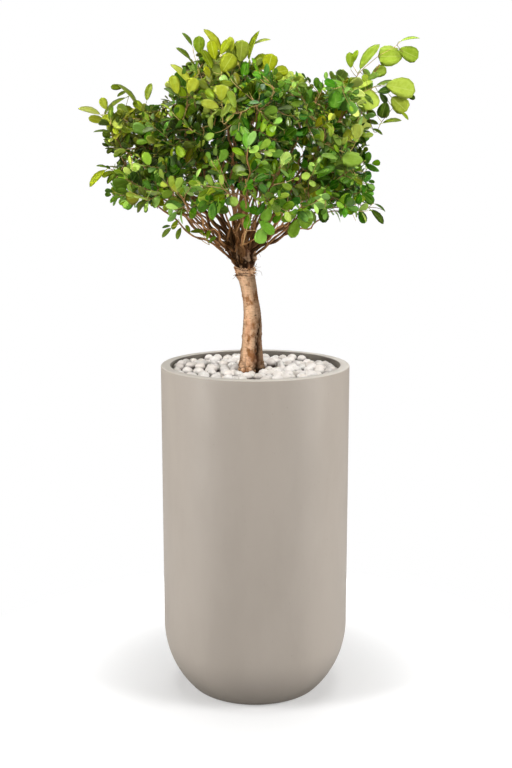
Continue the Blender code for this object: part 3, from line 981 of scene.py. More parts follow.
@dataclass
class PebbleDressing:
    """Loose white pebbles, packed in two layers round the trunk."""

    finish: PebbleFinish
    inner_radius: float
    trunk_place: tuple[float, float]
    trunk_radius: float = 0.0285
    sizes: tuple[float, float] = (0.0106, 0.0132)
    # Height and number of stones, for the lower layer and the upper.
    layers: tuple[tuple[float, int], ...] = ((0.68, 160), (0.6955, 146))
    unevenness: tuple[float, float] = (-0.0048, 0.004)
    gap: float = 0.0006
    rounds: int = 400

    def settle(self, count: int, rng: Rng) -> tuple[Array, Array]:
        """Spread stones over the bed until none overlaps the next much.

        Args:
            count: how many stones.
            rng: the random numbers.

        Returns:
            Their places in plan and their radii.
        """
        radii = rng.uniform(*self.sizes, count)
        turn = rng.uniform(0.0, 2 * pi, count)
        out = self.inner_radius * np.sqrt(rng.uniform(0.02, 0.95, count))
        places = np.stack([out * np.cos(turn), out * np.sin(turn)], -1)
        for _ in range(self.rounds):
            gaps = places[:, None] - places[None]
            far = np.linalg.norm(gaps, axis=-1) + np.eye(count)
            overlap = np.clip((radii[:, None] + radii[None]) * 0.985 - far, 0.0, None) * (1 - np.eye(count))
            places += (gaps / far[..., None] * overlap[..., None]).sum(1) * 0.32
            away = places - np.array(self.trunk_place)
            near = np.linalg.norm(away, axis=-1)
            places += away / near[:, None] * np.clip(self.trunk_radius + radii - near, 0.0, None)[:, None]
            limit = self.inner_radius - radii - self.gap
            places *= np.minimum(1.0, limit / np.maximum(np.linalg.norm(places, axis=-1), 1e-9))[:, None]
        return places, radii

    def build(self) -> Piece:
        """Make the pebbles and dress them.

        Returns:
            The piece.
        """
        rng = np.random.default_rng(SEED)
        bm = bmesh.new()
        bmesh.ops.create_icosphere(bm, subdivisions=2, radius=1.0)
        bm.verts.index_update()
        ball = np.array([vert.co[:] for vert in bm.verts])
        corners = np.array([vert.index for face in bm.faces for vert in face.verts])
        sizes = np.full(len(bm.faces), 3)
        bm.free()
        soil_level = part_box("potting_soil")[1].z
        joined = JoinedMesh()
        for layer, (level, count) in enumerate(self.layers):
            for place, radius in zip(*self.settle(count, rng)):
                shape = self._stone(ball, rng) * radius
                lowest = soil_level + 0.001 - shape[:, 2].min()
                middle = np.array((*place, max(level + rng.uniform(*self.unevenness), lowest)))
                # The lower layer is darkened all over as painted shade between the upper stones; an upper
                # stone gets a small random stain.
                stain_and_shade = 0.35 * rng.uniform() ** 3 if layer else 1.0
                tints = np.tile((rng.uniform() ** 1.6, stain_and_shade, 0.0, 1.0), (len(corners), 1))
                # Painted shade: each stone darker from a little above its middle down to its underside.
                tints[:, 2] = np.clip(0.62 - 1.9 * shape[corners, 2] / radius, 0.0, 0.97)
                joined.add(shape + middle, corners, sizes, np.zeros((len(corners), 2)), tints)
        return place_piece(joined.build("pebbles"), "pebble", self.finish.build(), "pebble_dressing")

    @staticmethod
    def _stone(ball: Array, rng: Rng) -> Array:
        """Shape one stone.

        Args:
            ball: the points of a ball of radius 1.
            rng: the random numbers.

        Returns:
            The stone's points, about its middle and at the same size.
        """
        stretch = np.array((rng.uniform(0.95, 1.04), rng.uniform(0.9, 0.99), rng.uniform(0.86, 0.97)))
        lump = rng.uniform(-0.5, 0.5, 3)
        shape = ball * stretch * (1 + 0.07 * np.sin(ball @ lump * 5)[:, None])
        turn = Matrix.Rotation(rng.uniform(0, 2 * pi), 3, "Z")
        turn = turn @ Matrix.Rotation(rng.uniform(-0.5, 0.5), 3, "X")
        return shape @ np.array(turn).T


# ============================================================ trunk
@dataclass(frozen=True)
class Knot:
    """A small boss on the trunk: its height, its bearing in degrees, its size and how far it stands out."""

    height: float
    bearing: float
    size: float
    depth: float


@dataclass
class Trunk:
    """The trunk: root flare, clear stem with knots and a fold, and the fibrous knuckle above the collar."""

    finish: BarkFinish
    # Stations up it: height, sideways sway, radius.
    stations: tuple[tuple[float, float, float], ...] = (
        (0.67, -0.0095, 0.03), (0.68, -0.0095, 0.0292), (0.692, -0.0094, 0.0282),
        (0.702, -0.0092, 0.0268), (0.718, -0.0092, 0.024), (0.74, -0.0091, 0.0213),
        (0.765, -0.0085, 0.0193), (0.795, -0.0066, 0.019), (0.825, -0.0068, 0.018),
        (0.852, -0.0103, 0.0166), (0.88, -0.015, 0.0174), (0.896, -0.0192, 0.0186),
        (0.903, -0.0205, 0.0188), (0.922, -0.0232, 0.0215), (0.94, -0.025, 0.025),
        (0.956, -0.0255, 0.022), (0.966, -0.0255, 0.012),
    )
    collar: float = 0.91
    knots: tuple[Knot, ...] = (
        Knot(0.816, -68.0, 0.0058, 0.0022), Knot(0.797, -146.0, 0.0056, 0.0026),
        Knot(0.769, -174.0, 0.005, 0.0022), Knot(0.74, -178.0, 0.0054, 0.0022),
        Knot(0.774, -2.0, 0.0044, 0.0018), Knot(0.848, -60.0, 0.0036, 0.0012),
        Knot(0.856, -170.0, 0.0044, 0.0016), Knot(0.879, -100.0, 0.0044, -0.0022),
        Knot(0.893, -138.0, 0.0046, -0.0034), Knot(0.8955, -172.0, 0.0062, 0.004),
        Knot(0.84, -120.0, 0.003, 0.001), Knot(0.762, -112.0, 0.0036, 0.0012),
        Knot(0.83, 80.0, 0.005, 0.0018), Knot(0.79, 120.0, 0.0055, 0.002),
        Knot(0.76, 55.0, 0.0048, 0.0016),
    )
    # Wrinkles under the collar: height, and how far each stands out.
    wrinkles: tuple[tuple[float, float], ...] = (
        (0.888, 0.0006), (0.8975, 0.0016), (0.9035, 0.0026), (0.9085, 0.0018), (0.9005, -0.0014),
    )
    # Creases round the stem, darkened with painted shade: height, and how dark each is.
    creases: tuple[tuple[float, float], ...] = (
        (0.9002, 0.85), (0.9062, 0.6), (0.8925, 0.55), (0.876, 0.3), (0.825, 0.2), (0.786, 0.25),
        (0.742, 0.3),
    )
    # The fold is darkened with painted shade as well as cut into the bark.
    fold_bearing: float = -14.0     # where the dark fold runs down the stem, at its top
    fold_turn: float = 46.0         # how far round it has come at the foot
    fold_top: float = 0.83
    fold_foot: float = 0.69
    columns: int = 112
    rows: int = 250

    def __post_init__(self) -> None:
        """Work out the stem's centre line and its radius at every row."""
        knots = [np.array((sway, radius, height)) for height, sway, radius in self.stations]
        path = smooth_path(knots, 0.002)
        self.table = path[np.argsort(path[:, 2])]

    def centre(self, height: float) -> Array:
        """The middle of the stem at a height."""
        return np.array((np.interp(height, self.table[:, 2], self.table[:, 0]), 0.0, height))

    def radius(self, height: float) -> float:
        """The stem's radius at a height, before any relief."""
        return float(np.interp(height, self.table[:, 2], self.table[:, 1]))

    def at(self, turn: float, height: float, out: float) -> Vector:
        """The point at a bearing and a height, a distance out from the middle of the stem."""
        return Vector(self.centre(height)) + around(turn, out, 0.0)

    def relief(self, turn: float, height: float) -> float:
        """How far the bark stands out at a place.

        Args:
            turn: the place's bearing, in radians.
            height: its height.

        Returns:
            Metres, below 0 in a hollow.
        """
        out = 0.0009 * rough(turn, 1.2, height * 22) + 0.0005 * rough(turn, 1.8, height * 260)
        low = max(0.0, 1 - (height - 0.67) / 0.05)
        out += 0.0034 * low * cos(5 * turn + 0.9) + 0.0016 * low * rough(turn, 2.2, height * 110)
        out += 0.0024 * bell(height - 0.706, 0.009) * (0.6 + rough(turn, 1.7, height * 85))
        out -= 0.002 * self.flaking(turn, height)
        for place, size in self.wrinkles:
            out += size * bell(height - place - 0.0026 * rough(turn, 1.5, place * 90), 0.0016)
        if height > self.collar:
            rise = min(1.0, (height - self.collar) / 0.02)
            out += rise * self.cords(turn, height) - 0.0012 * (1 - rise)
        for knot in self.knots:
            off = self._off_knot(knot, turn, height)
            if off < 2.5:
                out += knot.depth * (exp(-2.2 * off**2) - 0.55 * exp(-9 * off**2))
        return out - self.fold_depth(turn, height)

    def _off_knot(self, knot: Knot, turn: float, height: float, flatter: float = 1.0) -> float:
        """How far a place is from a knot's middle, in knot sizes. A knot may be flatter than round."""
        across = swing(turn, radians(knot.bearing)) * self.radius(height)
        return hypot(across, (height - knot.height) * flatter) / knot.size

    @staticmethod
    def cords(turn: float, height: float) -> float:
        """The relief of the knuckle at a place: cords that run up it, broken by lumps and pockets."""
        out = 0.0066 * rough(turn, 3.4, height * 24) + 0.0062 * rough(turn, 2.2, height * 85, (5, 0, 0))
        return out + 0.0024 * rough(turn, 7, height * 210, (0, 3, 0))

    @staticmethod
    def flaking(turn: float, height: float) -> float:
        """How much a place is in a crevice between the flaking plates of the foot.

        Args:
            turn: the place's bearing, in radians.
            height: its height.

        Returns:
            From 0 to 1.
        """
        low = max(0.0, 1 - max(0.0, height - 0.69) / 0.038)
        if low == 0.0:
            return 0.0
        first, second = noise.voronoi(around(turn, 2.2, height * 105))[0][:2]
        return min(1.0, low * 1.6) * max(0.0, 1 - (second - first) / 0.22)

    def crease(self, turn: float, height: float) -> float:
        """How dark the painted shade in the creases round the stem is: strong under the collar, faint further
        down.

        Args:
            turn: the place's bearing, in radians.
            height: its height.

        Returns:
            From 0 to 1.
        """
        shade = 0.0
        for place, deep in self.creases:
            off = height - place - 0.0035 * rough(turn, 1.5, place * 90)
            patch = held(0.5 + 1.6 * rough(turn, 1.95, place * 300, (0, 7, 0)))
            shade = max(shade, deep * patch * bell(off, 0.0011))
        return shade

    def fold_depth(self, turn: float, height: float) -> float:
        """How deep the fold down the right of the stem is.

        Args:
            turn: the place's bearing, in radians.
            height: its height.

        Returns:
            Metres, below 0 on the ridge beside it.
        """
        if height > self.fold_top:
            return 0.0
        fall = (self.fold_top - height) / (self.fold_top - self.fold_foot)
        off = swing(turn, radians(self.fold_bearing - self.fold_turn * fall))
        wobble = 0.05 * sin(height * 260) + 0.04 * sin(height * 610)
        ridge = 0.0034 * min(1.0, fall * 2) * bell(off - 0.6, 0.34)
        strand = 0.0024 * min(1.0, fall * 2) * bell(off - wobble + 0.36, 0.1)
        return 0.0066 * min(1.0, fall * 2.5) * bell(off + wobble, 0.17) + strand - ridge

    def knot_shade(self, turn: float, height: float) -> float:
        """How dark the heart of a knot makes a place, from 0 to 1."""
        return max(0.85 * exp(-4.5 * self._off_knot(knot, turn, height, 1.5) ** 2) for knot in self.knots)

    def tint(self, turn: float, height: float) -> tuple[float, float, float, float]:
        """The numbers that the bark's finish reads.

        Args:
            turn: the place's bearing, in radians.
            height: its height.

        Returns:
            How light the bark is, which below the collar is painted light brightest on the front-left; how
            dark it is, as the dark fibrous knuckle and painted shade; how young; and 1.
        """
        below = held((self.collar - height) / 0.004)
        above = held((height - self.collar + 0.001) / 0.004)
        # Painted shade in the knuckle's hollows, over its own dark fibres, and in the fold, the crevices of
        # the flaking foot, the creases and the hearts of the knots; and darker towards the foot.
        dark = max(
            above * held(0.95 - self.cords(turn, height) / 0.005, 0.34, 0.99),
            0.9 * held(self.fold_depth(turn, height) / 0.004),
            0.78 * self.flaking(turn, height),
            self.crease(turn, height),
            self.knot_shade(turn, height),
            0.32 * max(0.0, 1 - (height - 0.672) / 0.02),
        )
        pink = 0.55 * max(0.0, rough(turn, 1.3, height * 34))
        # Painted light: below the collar the bark is lighter on its front-left and darker round to the right
        # and back.
        return 0.6 + (0.88 * bell(swing(turn, -2.0), 0.84) - 0.6) * below, dark, pink, 1.0

    def build(self) -> Piece:
        """Model the trunk and dress it.

        Returns:
            The piece.
        """
        bm = bmesh.new()
        bmesh.ops.create_grid(bm, x_segments=self.columns, y_segments=self.rows, size=0.5)
        low, high = self.stations[0][0], self.stations[-1][0]
        places = {v: ((v.co.x + 0.5) * 2 * pi, low + (v.co.y + 0.5) * (high - low)) for v in bm.verts}
        numbers = {}
        for vert, (turn, height) in places.items():
            numbers[vert] = (turn * BARK_GIRTH, height), self.tint(turn, height)
            vert.co = self.at(turn, height, self.radius(height) + self.relief(turn, height))
        mark_corners(bm, numbers)
        bmesh.ops.remove_doubles(bm, verts=bm.verts, dist=1e-6)
        bmesh.ops.holes_fill(bm, edges=bm.edges, sides=0)
        bmesh.ops.recalc_face_normals(bm, faces=bm.faces)
        return place_piece(object_from("trunk_bark", bm), "trunk_bark", self.finish.build(), "trunk")


def mark_corners(bm: Mesh, numbers: dict) -> None:
    """Write the numbers that a bark's finish reads.

    Args:
        bm: the mesh.
        numbers: each point's UV and tint.
    """
    layers = bm.loops.layers
    uv = layers.uv.get("UVMap") or layers.uv.new("UVMap")
    tint = layers.float_color.get("tint") or layers.float_color.new("tint")
    for loop in (loop for face in bm.faces for loop in face.loops if loop.vert in numbers):
        loop[uv].uv, loop[tint] = numbers[loop.vert]


@dataclass(frozen=True)
class Flap:
    """A torn strip of bark that curls off the stem: where it hangs on, its size and how far it curls out."""

    bearing: float
    height: float
    length: float
    width: float
    curl: float
    rise: float     # 1 points up and -1 points down


@dataclass
class Collar:
    """The ragged edge where the tan bark ends below the knuckle, with torn flaps and two snags."""

    trunk: Trunk
    finish: Material
    height: float = 0.019
    stand_off: float = 0.0008
    tear: float = 0.004
    flare: float = 0.001
    thickness: float = 0.0008
    columns: int = 120
    rows: int = 26
    # Folds round the sleeve: how far up it, and how far they stand out.
    folds: tuple[tuple[float, float], ...] = ((0.24, 0.0012), (0.52, 0.0018), (0.86, 0.0022))
    flaps: tuple[Flap, ...] = (
        Flap(178.0, 0.902, 0.012, 0.006, 0.007, -0.35),
        Flap(-158.0, 0.9045, 0.009, 0.007, 0.005, -0.8),
        Flap(-122.0, 0.907, 0.008, 0.008, 0.0035, -0.9), Flap(-84.0, 0.9075, 0.007, 0.007, 0.003, 0.7),
        Flap(-50.0, 0.9065, 0.009, 0.006, 0.004, -0.8), Flap(-8.0, 0.9095, 0.014, 0.0045, 0.0065, 0.95),
        Flap(12.0, 0.9035, 0.009, 0.006, 0.005, -0.6), Flap(60.0, 0.9055, 0.009, 0.007, 0.0045, -0.8),
        Flap(110.0, 0.9065, 0.01, 0.007, 0.005, 0.8), Flap(146.0, 0.9045, 0.009, 0.006, 0.0045, -0.7),
    )

    def build(self) -> Piece:
        """Model the torn sleeve of bark and its flaps.

        Returns:
            The piece.
        """
        bm = bmesh.new()
        self._sleeve(bm)
        for flap in self.flaps:
            self._flap(bm, flap)
        bmesh.ops.remove_doubles(bm, verts=bm.verts, dist=1e-6)
        bmesh.ops.recalc_face_normals(bm, faces=bm.faces)
        bmesh.ops.solidify(bm, geom=bm.faces[:], thickness=self.thickness)
        return place_piece(object_from("bark_collar", bm), "trunk_bark", self.finish)

    def _sleeve(self, bm: Mesh) -> None:
        """Add the torn ring round the stem.

        Args:
            bm: the collar.
        """
        grid = bmesh.ops.create_grid(bm, x_segments=self.columns, y_segments=self.rows, size=0.5)
        foot = self.trunk.collar - self.height * 0.75
        numbers = {}
        for vert in grid["verts"]:
            turn, share = (vert.co.x + 0.5) * 2 * pi, vert.co.y + 0.5
            fold, dark = self._fold(turn, share)
            # Painted light, brightest on the front-left, as on the trunk below.
            light = 0.62 + 0.3 * bell(swing(turn, -2.0), 0.9)
            numbers[vert] = (turn * BARK_GIRTH, foot + share * self.height), (light, dark, 0.0, 1.0)
            torn = rough(turn, 2.6, 5) + 0.8 * rough(turn, 9.0, 0)
            height = foot + share * (self.height + self.tear * torn)
            out = self.trunk.radius(height) + self.trunk.relief(turn, min(height, self.trunk.collar - 1e-4))
            out += self.stand_off * min(1.0, share * 4) - 0.0004 + fold
            out += self.flare * share**2 * (0.6 + 1.1 * rough(turn, 4.5, 0, (9, 0, 0)))
            vert.co = self.trunk.at(turn, height, out)
        mark_corners(bm, numbers)

    def _fold(self, turn: float, share: float) -> tuple[float, float]:
        """The folds that run round the sleeve, and the painted shade in the creases between them.

        Args:
            turn: the place's bearing, in radians.
            share: how far up the sleeve it is, from 0 to 1.

        Returns:
            Metres out, and the darkness of the painted shade from 0 to 1.
        """
        out = dark = 0.0
        for place, size in self.folds:
            at = share - place - 0.2 * rough(turn, 1.19, place * 40) - 0.05 * cos(turn + 2.6)
            strong = held(0.62 + 2.0 * rough(turn, 2.04, place * 70, (3, 0, 0)), 0.05)
            out += size * strong * bell(at, 0.085)
            # Painted shade in the crease below each fold.
            dark = max(dark, 0.85 * strong * bell(at + 0.125, 0.08))
        return out, dark

    def _flap(self, bm: Mesh, flap: Flap) -> None:
        """Add one torn strip, curling off the stem.

        Args:
            bm: the collar.
            flap: the strip.
        """
        grid = bmesh.ops.create_grid(bm, x_segments=3, y_segments=4, size=0.5)
        bearing, radius = radians(flap.bearing), self.trunk.radius(flap.height)
        numbers = {}
        for vert in grid["verts"]:
            across, share = vert.co.x * flap.width, vert.co.y + 0.5
            uv = (bearing * BARK_GIRTH + across, flap.height + share * flap.length)
            numbers[vert] = uv, (0.7, 0.15 + 0.55 * share, 0.0, 1.0)
            taper = (1 - 0.65 * share**1.5) * (1 + 0.25 * sin(share * 9 + flap.bearing))
            height = flap.height + flap.length * share * flap.rise
            out = radius + 0.0006 + flap.curl * share**1.6
            vert.co = self.trunk.at(bearing + across * taper / radius, height, out)
        mark_corners(bm, numbers)


# ============================================================ the crown
class LeafKind(Enum):
    """The two sorts of leaf."""

    MATURE = "leaf_mature"
    YOUNG = "leaf_young"


@dataclass(frozen=True)
class Leader:
    """A shoot that stands out of its mass, with each of its leaves placed.

    Everything is in millimetres across (x) and up (z) at one depth. A leaf is its blade's foot, its tip and
    its width as seen from the front, then its age with painted light and shade, and its warmth in hundredths.
    """

    mass: str
    depth: int
    stem: tuple[tuple[int, int], ...]
    leaves: tuple[tuple[int, int, int, int, int, int, int], ...]


LEADERS: tuple[Leader, ...] = (
    Leader("mid_upper_right", -60, (
        (192, 1284), (208, 1307), (225, 1322), (247, 1339), (274, 1354), (288, 1366),
    ), (
        (288, 1364, 323, 1375, 8, 68, 55), (292, 1337, 245, 1335, 40, 66, 62),
        (286, 1349, 322, 1333, 30, 60, 60), (208, 1311, 238, 1360, 18, 60, 60),
        (190, 1314, 187, 1343, 16, 54, 60), (194, 1324, 201, 1347, 10, 48, 60),
        (232, 1299, 259, 1312, 22, 66, 60), (230, 1291, 216, 1311, 12, 55, 50),
    )),
    Leader("mid_upper_right", -80, ((179, 1252), (199, 1261), (222, 1271), (242, 1278), (262, 1278)), (
        (258, 1278, 315, 1269, 39, 74, 70), (218, 1271, 229, 1232, 39, 76, 70),
        (185, 1263, 228, 1292, 16, 74, 70), (270, 1255, 298, 1229, 32, 56, 88),
        (242, 1265, 266, 1271, 14, 22, 30), (301, 1259, 317, 1254, 10, 15, 30),
        (240, 1278, 279, 1290, 10, 45, 60), (199, 1255, 181, 1275, 14, 55, 60),
        (226, 1280, 214, 1300, 14, 58, 70), (246, 1262, 262, 1246, 12, 24, 40),
        (206, 1262, 190, 1248, 14, 30, 40), (222, 1290, 240, 1300, 12, 40, 60),
    )),
    Leader("mid_upper_right", -40, ((240, 1191), (255, 1211), (273, 1234), (289, 1252)), (
        (263, 1248, 255, 1218, 24, 28, 45), (291, 1230, 310, 1216, 8, 52, 70),
        (257, 1207, 291, 1216, 10, 38, 65), (247, 1205, 225, 1213, 10, 25, 50),
        (236, 1195, 258, 1187, 8, 20, 40), (243, 1222, 225, 1230, 14, 32, 45),
    )),
    Leader("top_left", -60, ((-100, 1276), (-111, 1307), (-117, 1326), (-123, 1349)), (
        (-125, 1356, -140, 1381, 8, 30, 50), (-111, 1341, -111, 1374, 22, 50, 62),
        (-129, 1330, -152, 1353, 10, 30, 55), (-93, 1318, -109, 1339, 14, 26, 25),
        (-76, 1295, -91, 1330, 10, 70, 92), (-117, 1303, -133, 1326, 12, 40, 60),
    )),
    Leader("top_left", -95, ((-65, 1266), (-66, 1300), (-66, 1326), (-68, 1342)), (
        (-68, 1342, -94, 1387, 16, 52, 98), (-78, 1326, -86, 1361, 20, 46, 90),
        (-66, 1336, -51, 1363, 16, 44, 85), (-64, 1302, -43, 1334, 31, 52, 94),
        (-84, 1308, -100, 1346, 16, 38, 70),
    )),
    Leader("top_left", -85, ((-46, 1289), (-39, 1317), (-33, 1323), (-33, 1335)), (
        (-45, 1341, -49, 1369, 14, 54, 95), (-29, 1323, -25, 1362, 29, 46, 92),
        (-24, 1293, -18, 1323, 16, 46, 5), (-41, 1320, -53, 1347, 14, 50, 85),
    )),
    Leader("top_right", -20, ((-17, 1286), (-15, 1310), (-12, 1333)), (
        (-12, 1333, 0, 1389, 10, 34, 70), (-4, 1362, 28, 1376, 8, 60, 85), (-8, 1314, 22, 1343, 22, 34, 75),
    )),
    Leader("top_right", -140, ((13, 1264), (21, 1286), (28, 1300)), (
        (24, 1300, 32, 1332, 27, 46, 92), (32, 1297, 63, 1304, 21, 50, 88), (21, 1286, 53, 1294, 15, 36, 70),
        (23, 1290, -4, 1297, 13, 50, 5), (-31, 1252, -6, 1282, 17, 42, 75), (15, 1254, -8, 1264, 25, 56, 92),
    )),
    Leader("mid_front_left", -195, ((-111, 1231), (-115, 1249), (-122, 1260)), (
        (-120, 1271, -152, 1313, 14, 62, 98), (-123, 1255, -112, 1283, 22, 60, 98),
        (-145, 1255, -155, 1289, 19, 58, 95), (-145, 1251, -169, 1269, 10, 28, 45),
        (-130, 1246, -141, 1267, 13, 45, 60),
    )),
    Leader("mid_front", -235, ((-58, 1200), (-60, 1222), (-61, 1242)), (
        (-63, 1242, -61, 1269, 28, 58, 92), (-37, 1228, -48, 1258, 13, 52, 80),
        (-67, 1229, -98, 1238, 17, 68, 92), (-62, 1210, -45, 1238, 13, 60, 80),
        (-76, 1247, -90, 1261, 15, 45, 70),
    )),
    Leader("mid_left", -20, ((-250, 1207), (-270, 1219), (-290, 1227), (-307, 1231)), (
        (-315, 1225, -355, 1241, 14, 64, 98), (-302, 1235, -310, 1257, 16, 62, 92),
        (-263, 1257, -309, 1233, 12, 40, 85), (-305, 1211, -339, 1219, 16, 60, 98),
        (-309, 1221, -285, 1207, 26, 54, 92), (-291, 1189, -326, 1195, 6, 28, 60),
        (-284, 1162, -304, 1177, 16, 34, 60),
    )),
    Leader("mid_left", 0, ((-224, 1212), (-237, 1236), (-253, 1260), (-267, 1278)), (
        (-241, 1246, -273, 1289, 8, 48, 75), (-271, 1278, -292, 1280, 12, 32, 65),
        (-263, 1272, -282, 1264, 8, 28, 60), (-246, 1214, -272, 1236, 29, 42, 80),
        (-221, 1254, -214, 1287, 14, 55, 78), (-227, 1232, -247, 1252, 16, 45, 75),
    )),
    Leader("low_left", -30, ((-251, 1099), (-267, 1111), (-284, 1115), (-302, 1119)), (
        (-306, 1113, -341, 1085, 16, 50, 90), (-302, 1119, -322, 1125, 6, 25, 50),
        (-282, 1109, -305, 1089, 12, 22, 50), (-267, 1111, -278, 1075, 18, 8, 40),
    )),
    Leader("low_left", -50, ((-221, 1076), (-236, 1068), (-248, 1062)), (
        (-248, 1062, -267, 1038, 24, 42, 25), (-270, 1062, -293, 1052, 6, 40, 60),
        (-222, 1064, -210, 1050, 12, 30, 40), (-235, 1076, -254, 1086, 16, 45, 50),
    )),
    Leader("low_front_left", -60, ((-110, 976), (-128, 986), (-145, 998), (-157, 1014)), (
        (-157, 1014, -169, 996, 10, 46, 70), (-171, 998, -189, 982, 10, 44, 75),
        (-151, 998, -161, 976, 10, 44, 70), (-173, 1002, -189, 1000, 6, 30, 50),
        (-132, 990, -140, 1004, 8, 40, 60),
    )),
    Leader("low_front_left", -90, ((-92, 968), (-101, 982), (-110, 992)), (
        (-101, 984, -118, 1000, 8, 44, 60), (-96, 978, -91, 998, 8, 38, 55),
        (-109, 992, -128, 995, 7, 36, 70), (-92, 970, -80, 984, 8, 48, 50),
    )),
    Leader("low_front_left", -170, ((-99, 1009), (-93, 1029), (-87, 1046)), (
        (-87, 1050, -126, 1044, 12, 52, 25), (-87, 1044, -51, 1038, 17, 34, 45),
        (-87, 1044, -82, 1021, 12, 56, 15), (-89, 1048, -85, 1071, 14, 40, 30),
    )),
    Leader("low_front", -150, ((-24, 972), (-16, 1005), (-8, 1028)), (
        (-12, 1034, -26, 1055, 16, 58, 12), (-18, 1028, -51, 1022, 12, 64, 18),
        (-12, 1030, -18, 1001, 14, 50, 15), (9, 1030, -10, 1043, 16, 48, 5),
    )),
    Leader("low_front", -180, ((14, 1004), (22, 1024), (30, 1044)), (
        (30, 1044, 15, 1018, 19, 64, 18), (9, 1018, 36, 995, 19, 60, 10), (13, 1004, 9, 975, 23, 74, 10),
        (50, 1031, 34, 1016, 12, 48, 15), (32, 1041, 44, 1063, 13, 50, 25),
    )),
    Leader("low_front_right", -160, ((87, 1067), (87, 1047), (85, 1030)), (
        (81, 1032, 52, 1019, 16, 58, 30), (85, 1028, 109, 1011, 31, 66, 32), (83, 1021, 70, 986, 21, 62, 32),
        (87, 1051, 104, 1044, 12, 40, 10),
    )),
    Leader("low_front", -140, ((-57, 1066), (-53, 1081), (-49, 1095)), (
        (-49, 1095, -67, 1080, 16, 74, 15), (-45, 1093, -33, 1112, 14, 60, 40),
        (-53, 1078, -71, 1091, 14, 38, 35),
    )),
    Leader("low_right", -80, ((186, 1068), (202, 1051), (222, 1043), (244, 1041), (261, 1035)), (
        (210, 1035, 221, 1009, 16, 30, 5), (233, 1035, 259, 1011, 14, 10, 35),
        (214, 1068, 238, 1049, 18, 30, 15), (240, 1047, 263, 1035, 6, 18, 40),
    )),
    Leader("low_right", -100, ((200, 1049), (193, 1034), (201, 1016)), (
        (189, 1045, 175, 1037, 8, 25, 30),
    )),
    Leader("low_front_right", -140, ((99, 1058), (113, 1053), (125, 1043)), (
        (125, 1041, 139, 1014, 18, 6, 20), (111, 1053, 94, 1035, 16, 32, 10),
    )),
    Leader("low_right", -60, ((207, 1080), (217, 1100), (225, 1120), (231, 1135)), (
        (215, 1104, 235, 1102, 18, 28, 5), (223, 1125, 228, 1149, 14, 36, 20),
        (235, 1127, 251, 1129, 12, 38, 30), (220, 1076, 240, 1080, 16, 30, 30),
        (211, 1114, 191, 1124, 16, 40, 30),
    )),
    Leader("mid_front_right", -170, ((194, 1101), (186, 1120), (182, 1135)), (
        (205, 1133, 166, 1135, 29, 76, 35), (157, 1139, 169, 1107, 17, 68, 45),
        (159, 1135, 128, 1146, 12, 66, 40), (155, 1120, 119, 1105, 15, 46, 15),
    )),
    Leader("mid_front_right", -150, ((183, 1150), (191, 1162), (194, 1173)), (
        (194, 1173, 198, 1201, 23, 70, 92), (146, 1177, 144, 1201, 13, 64, 60),
        (150, 1180, 164, 1162, 12, 60, 60), (177, 1177, 166, 1164, 12, 60, 85),
        (129, 1169, 125, 1190, 12, 62, 60), (206, 1179, 227, 1182, 10, 58, 60),
    )),
)


@dataclass(frozen=True)
class Stem:
    """A bare stem of the fan above the knuckle, placed one by one.

    Its mass, how far it is in front of the trunk (mm), its radius at its foot and at its tip (mm), how pale
    its bark is from 0 to 100, and its path in x and z (mm).
    """

    mass: str
    depth: int
    foot: float
    tip: float
    pale: int
    path: tuple[tuple[int, int], ...]


FAN: tuple[Stem, ...] = (
    Stem("low_left", -18, 2.9, 1.3, 60, (
        (-40, 927), (-50, 936), (-61, 946), (-83, 960), (-104, 972), (-122, 981), (-141, 993), (-159, 1008),
        (-180, 1026), (-200, 1042),
    )),
    Stem("low_front_left", -36, 2.7, 1.6, 60, (
        (-60, 951), (-58, 966), (-54, 980), (-54, 994), (-56, 1013), (-64, 1035), (-74, 1059),
    )),
    Stem("low_front_left", -50, 1.6, 1.1, 95, (
        (-41, 950), (-37, 965), (-33, 979), (-41, 991), (-47, 1007), (-53, 1027), (-57, 1048),
    )),
    Stem("low_front", -52, 1.5, 1.0, 95, ((-43, 987), (-35, 1001), (-27, 1013), (-19, 1032))),
    Stem("low_front", -50, 1.7, 1.1, 90, ((-33, 965), (-25, 967), (-15, 971), (-2, 979), (10, 993))),
    Stem("top_heart", -44, 4.6, 1.5, 60, (
        (-31, 945), (-35, 968), (-39, 994), (-41, 1025), (-43, 1055), (-47, 1087), (-47, 1119), (-46, 1151),
        (-51, 1178), (-56, 1205), (-61, 1232),
    )),
    Stem("low_front", -40, 2.4, 1.5, 45, (
        (-13, 954), (-9, 974), (-5, 999), (2, 1027), (8, 1055), (12, 1083),
    )),
    Stem("low_front_right", -30, 3.0, 1.6, 40, (
        (-2, 941), (10, 953), (30, 967), (49, 982), (67, 1000), (86, 1021), (102, 1041),
    )),
    Stem("low_front_left", -26, 2.4, 1.3, 65, (
        (-50, 940), (-69, 961), (-89, 982), (-107, 1002), (-126, 1026), (-142, 1049),
    )),
    Stem("low_left", -24, 2.0, 1.2, 75, (
        (-69, 955), (-93, 981), (-118, 1006), (-138, 1026), (-161, 1045), (-183, 1061),
    )),
    Stem("low_left", -44, 1.1, 0.7, 85, ((-72, 958), (-104, 986), (-128, 1014), (-158, 1030), (-186, 1052))),
    Stem("low_front_left", -48, 1.2, 0.7, 50, ((-64, 954), (-84, 972), (-96, 1000), (-118, 1034))),
    Stem("low_front_right", -44, 1.4, 0.8, 60, ((8, 950), (24, 964), (32, 990), (48, 1030))),
)


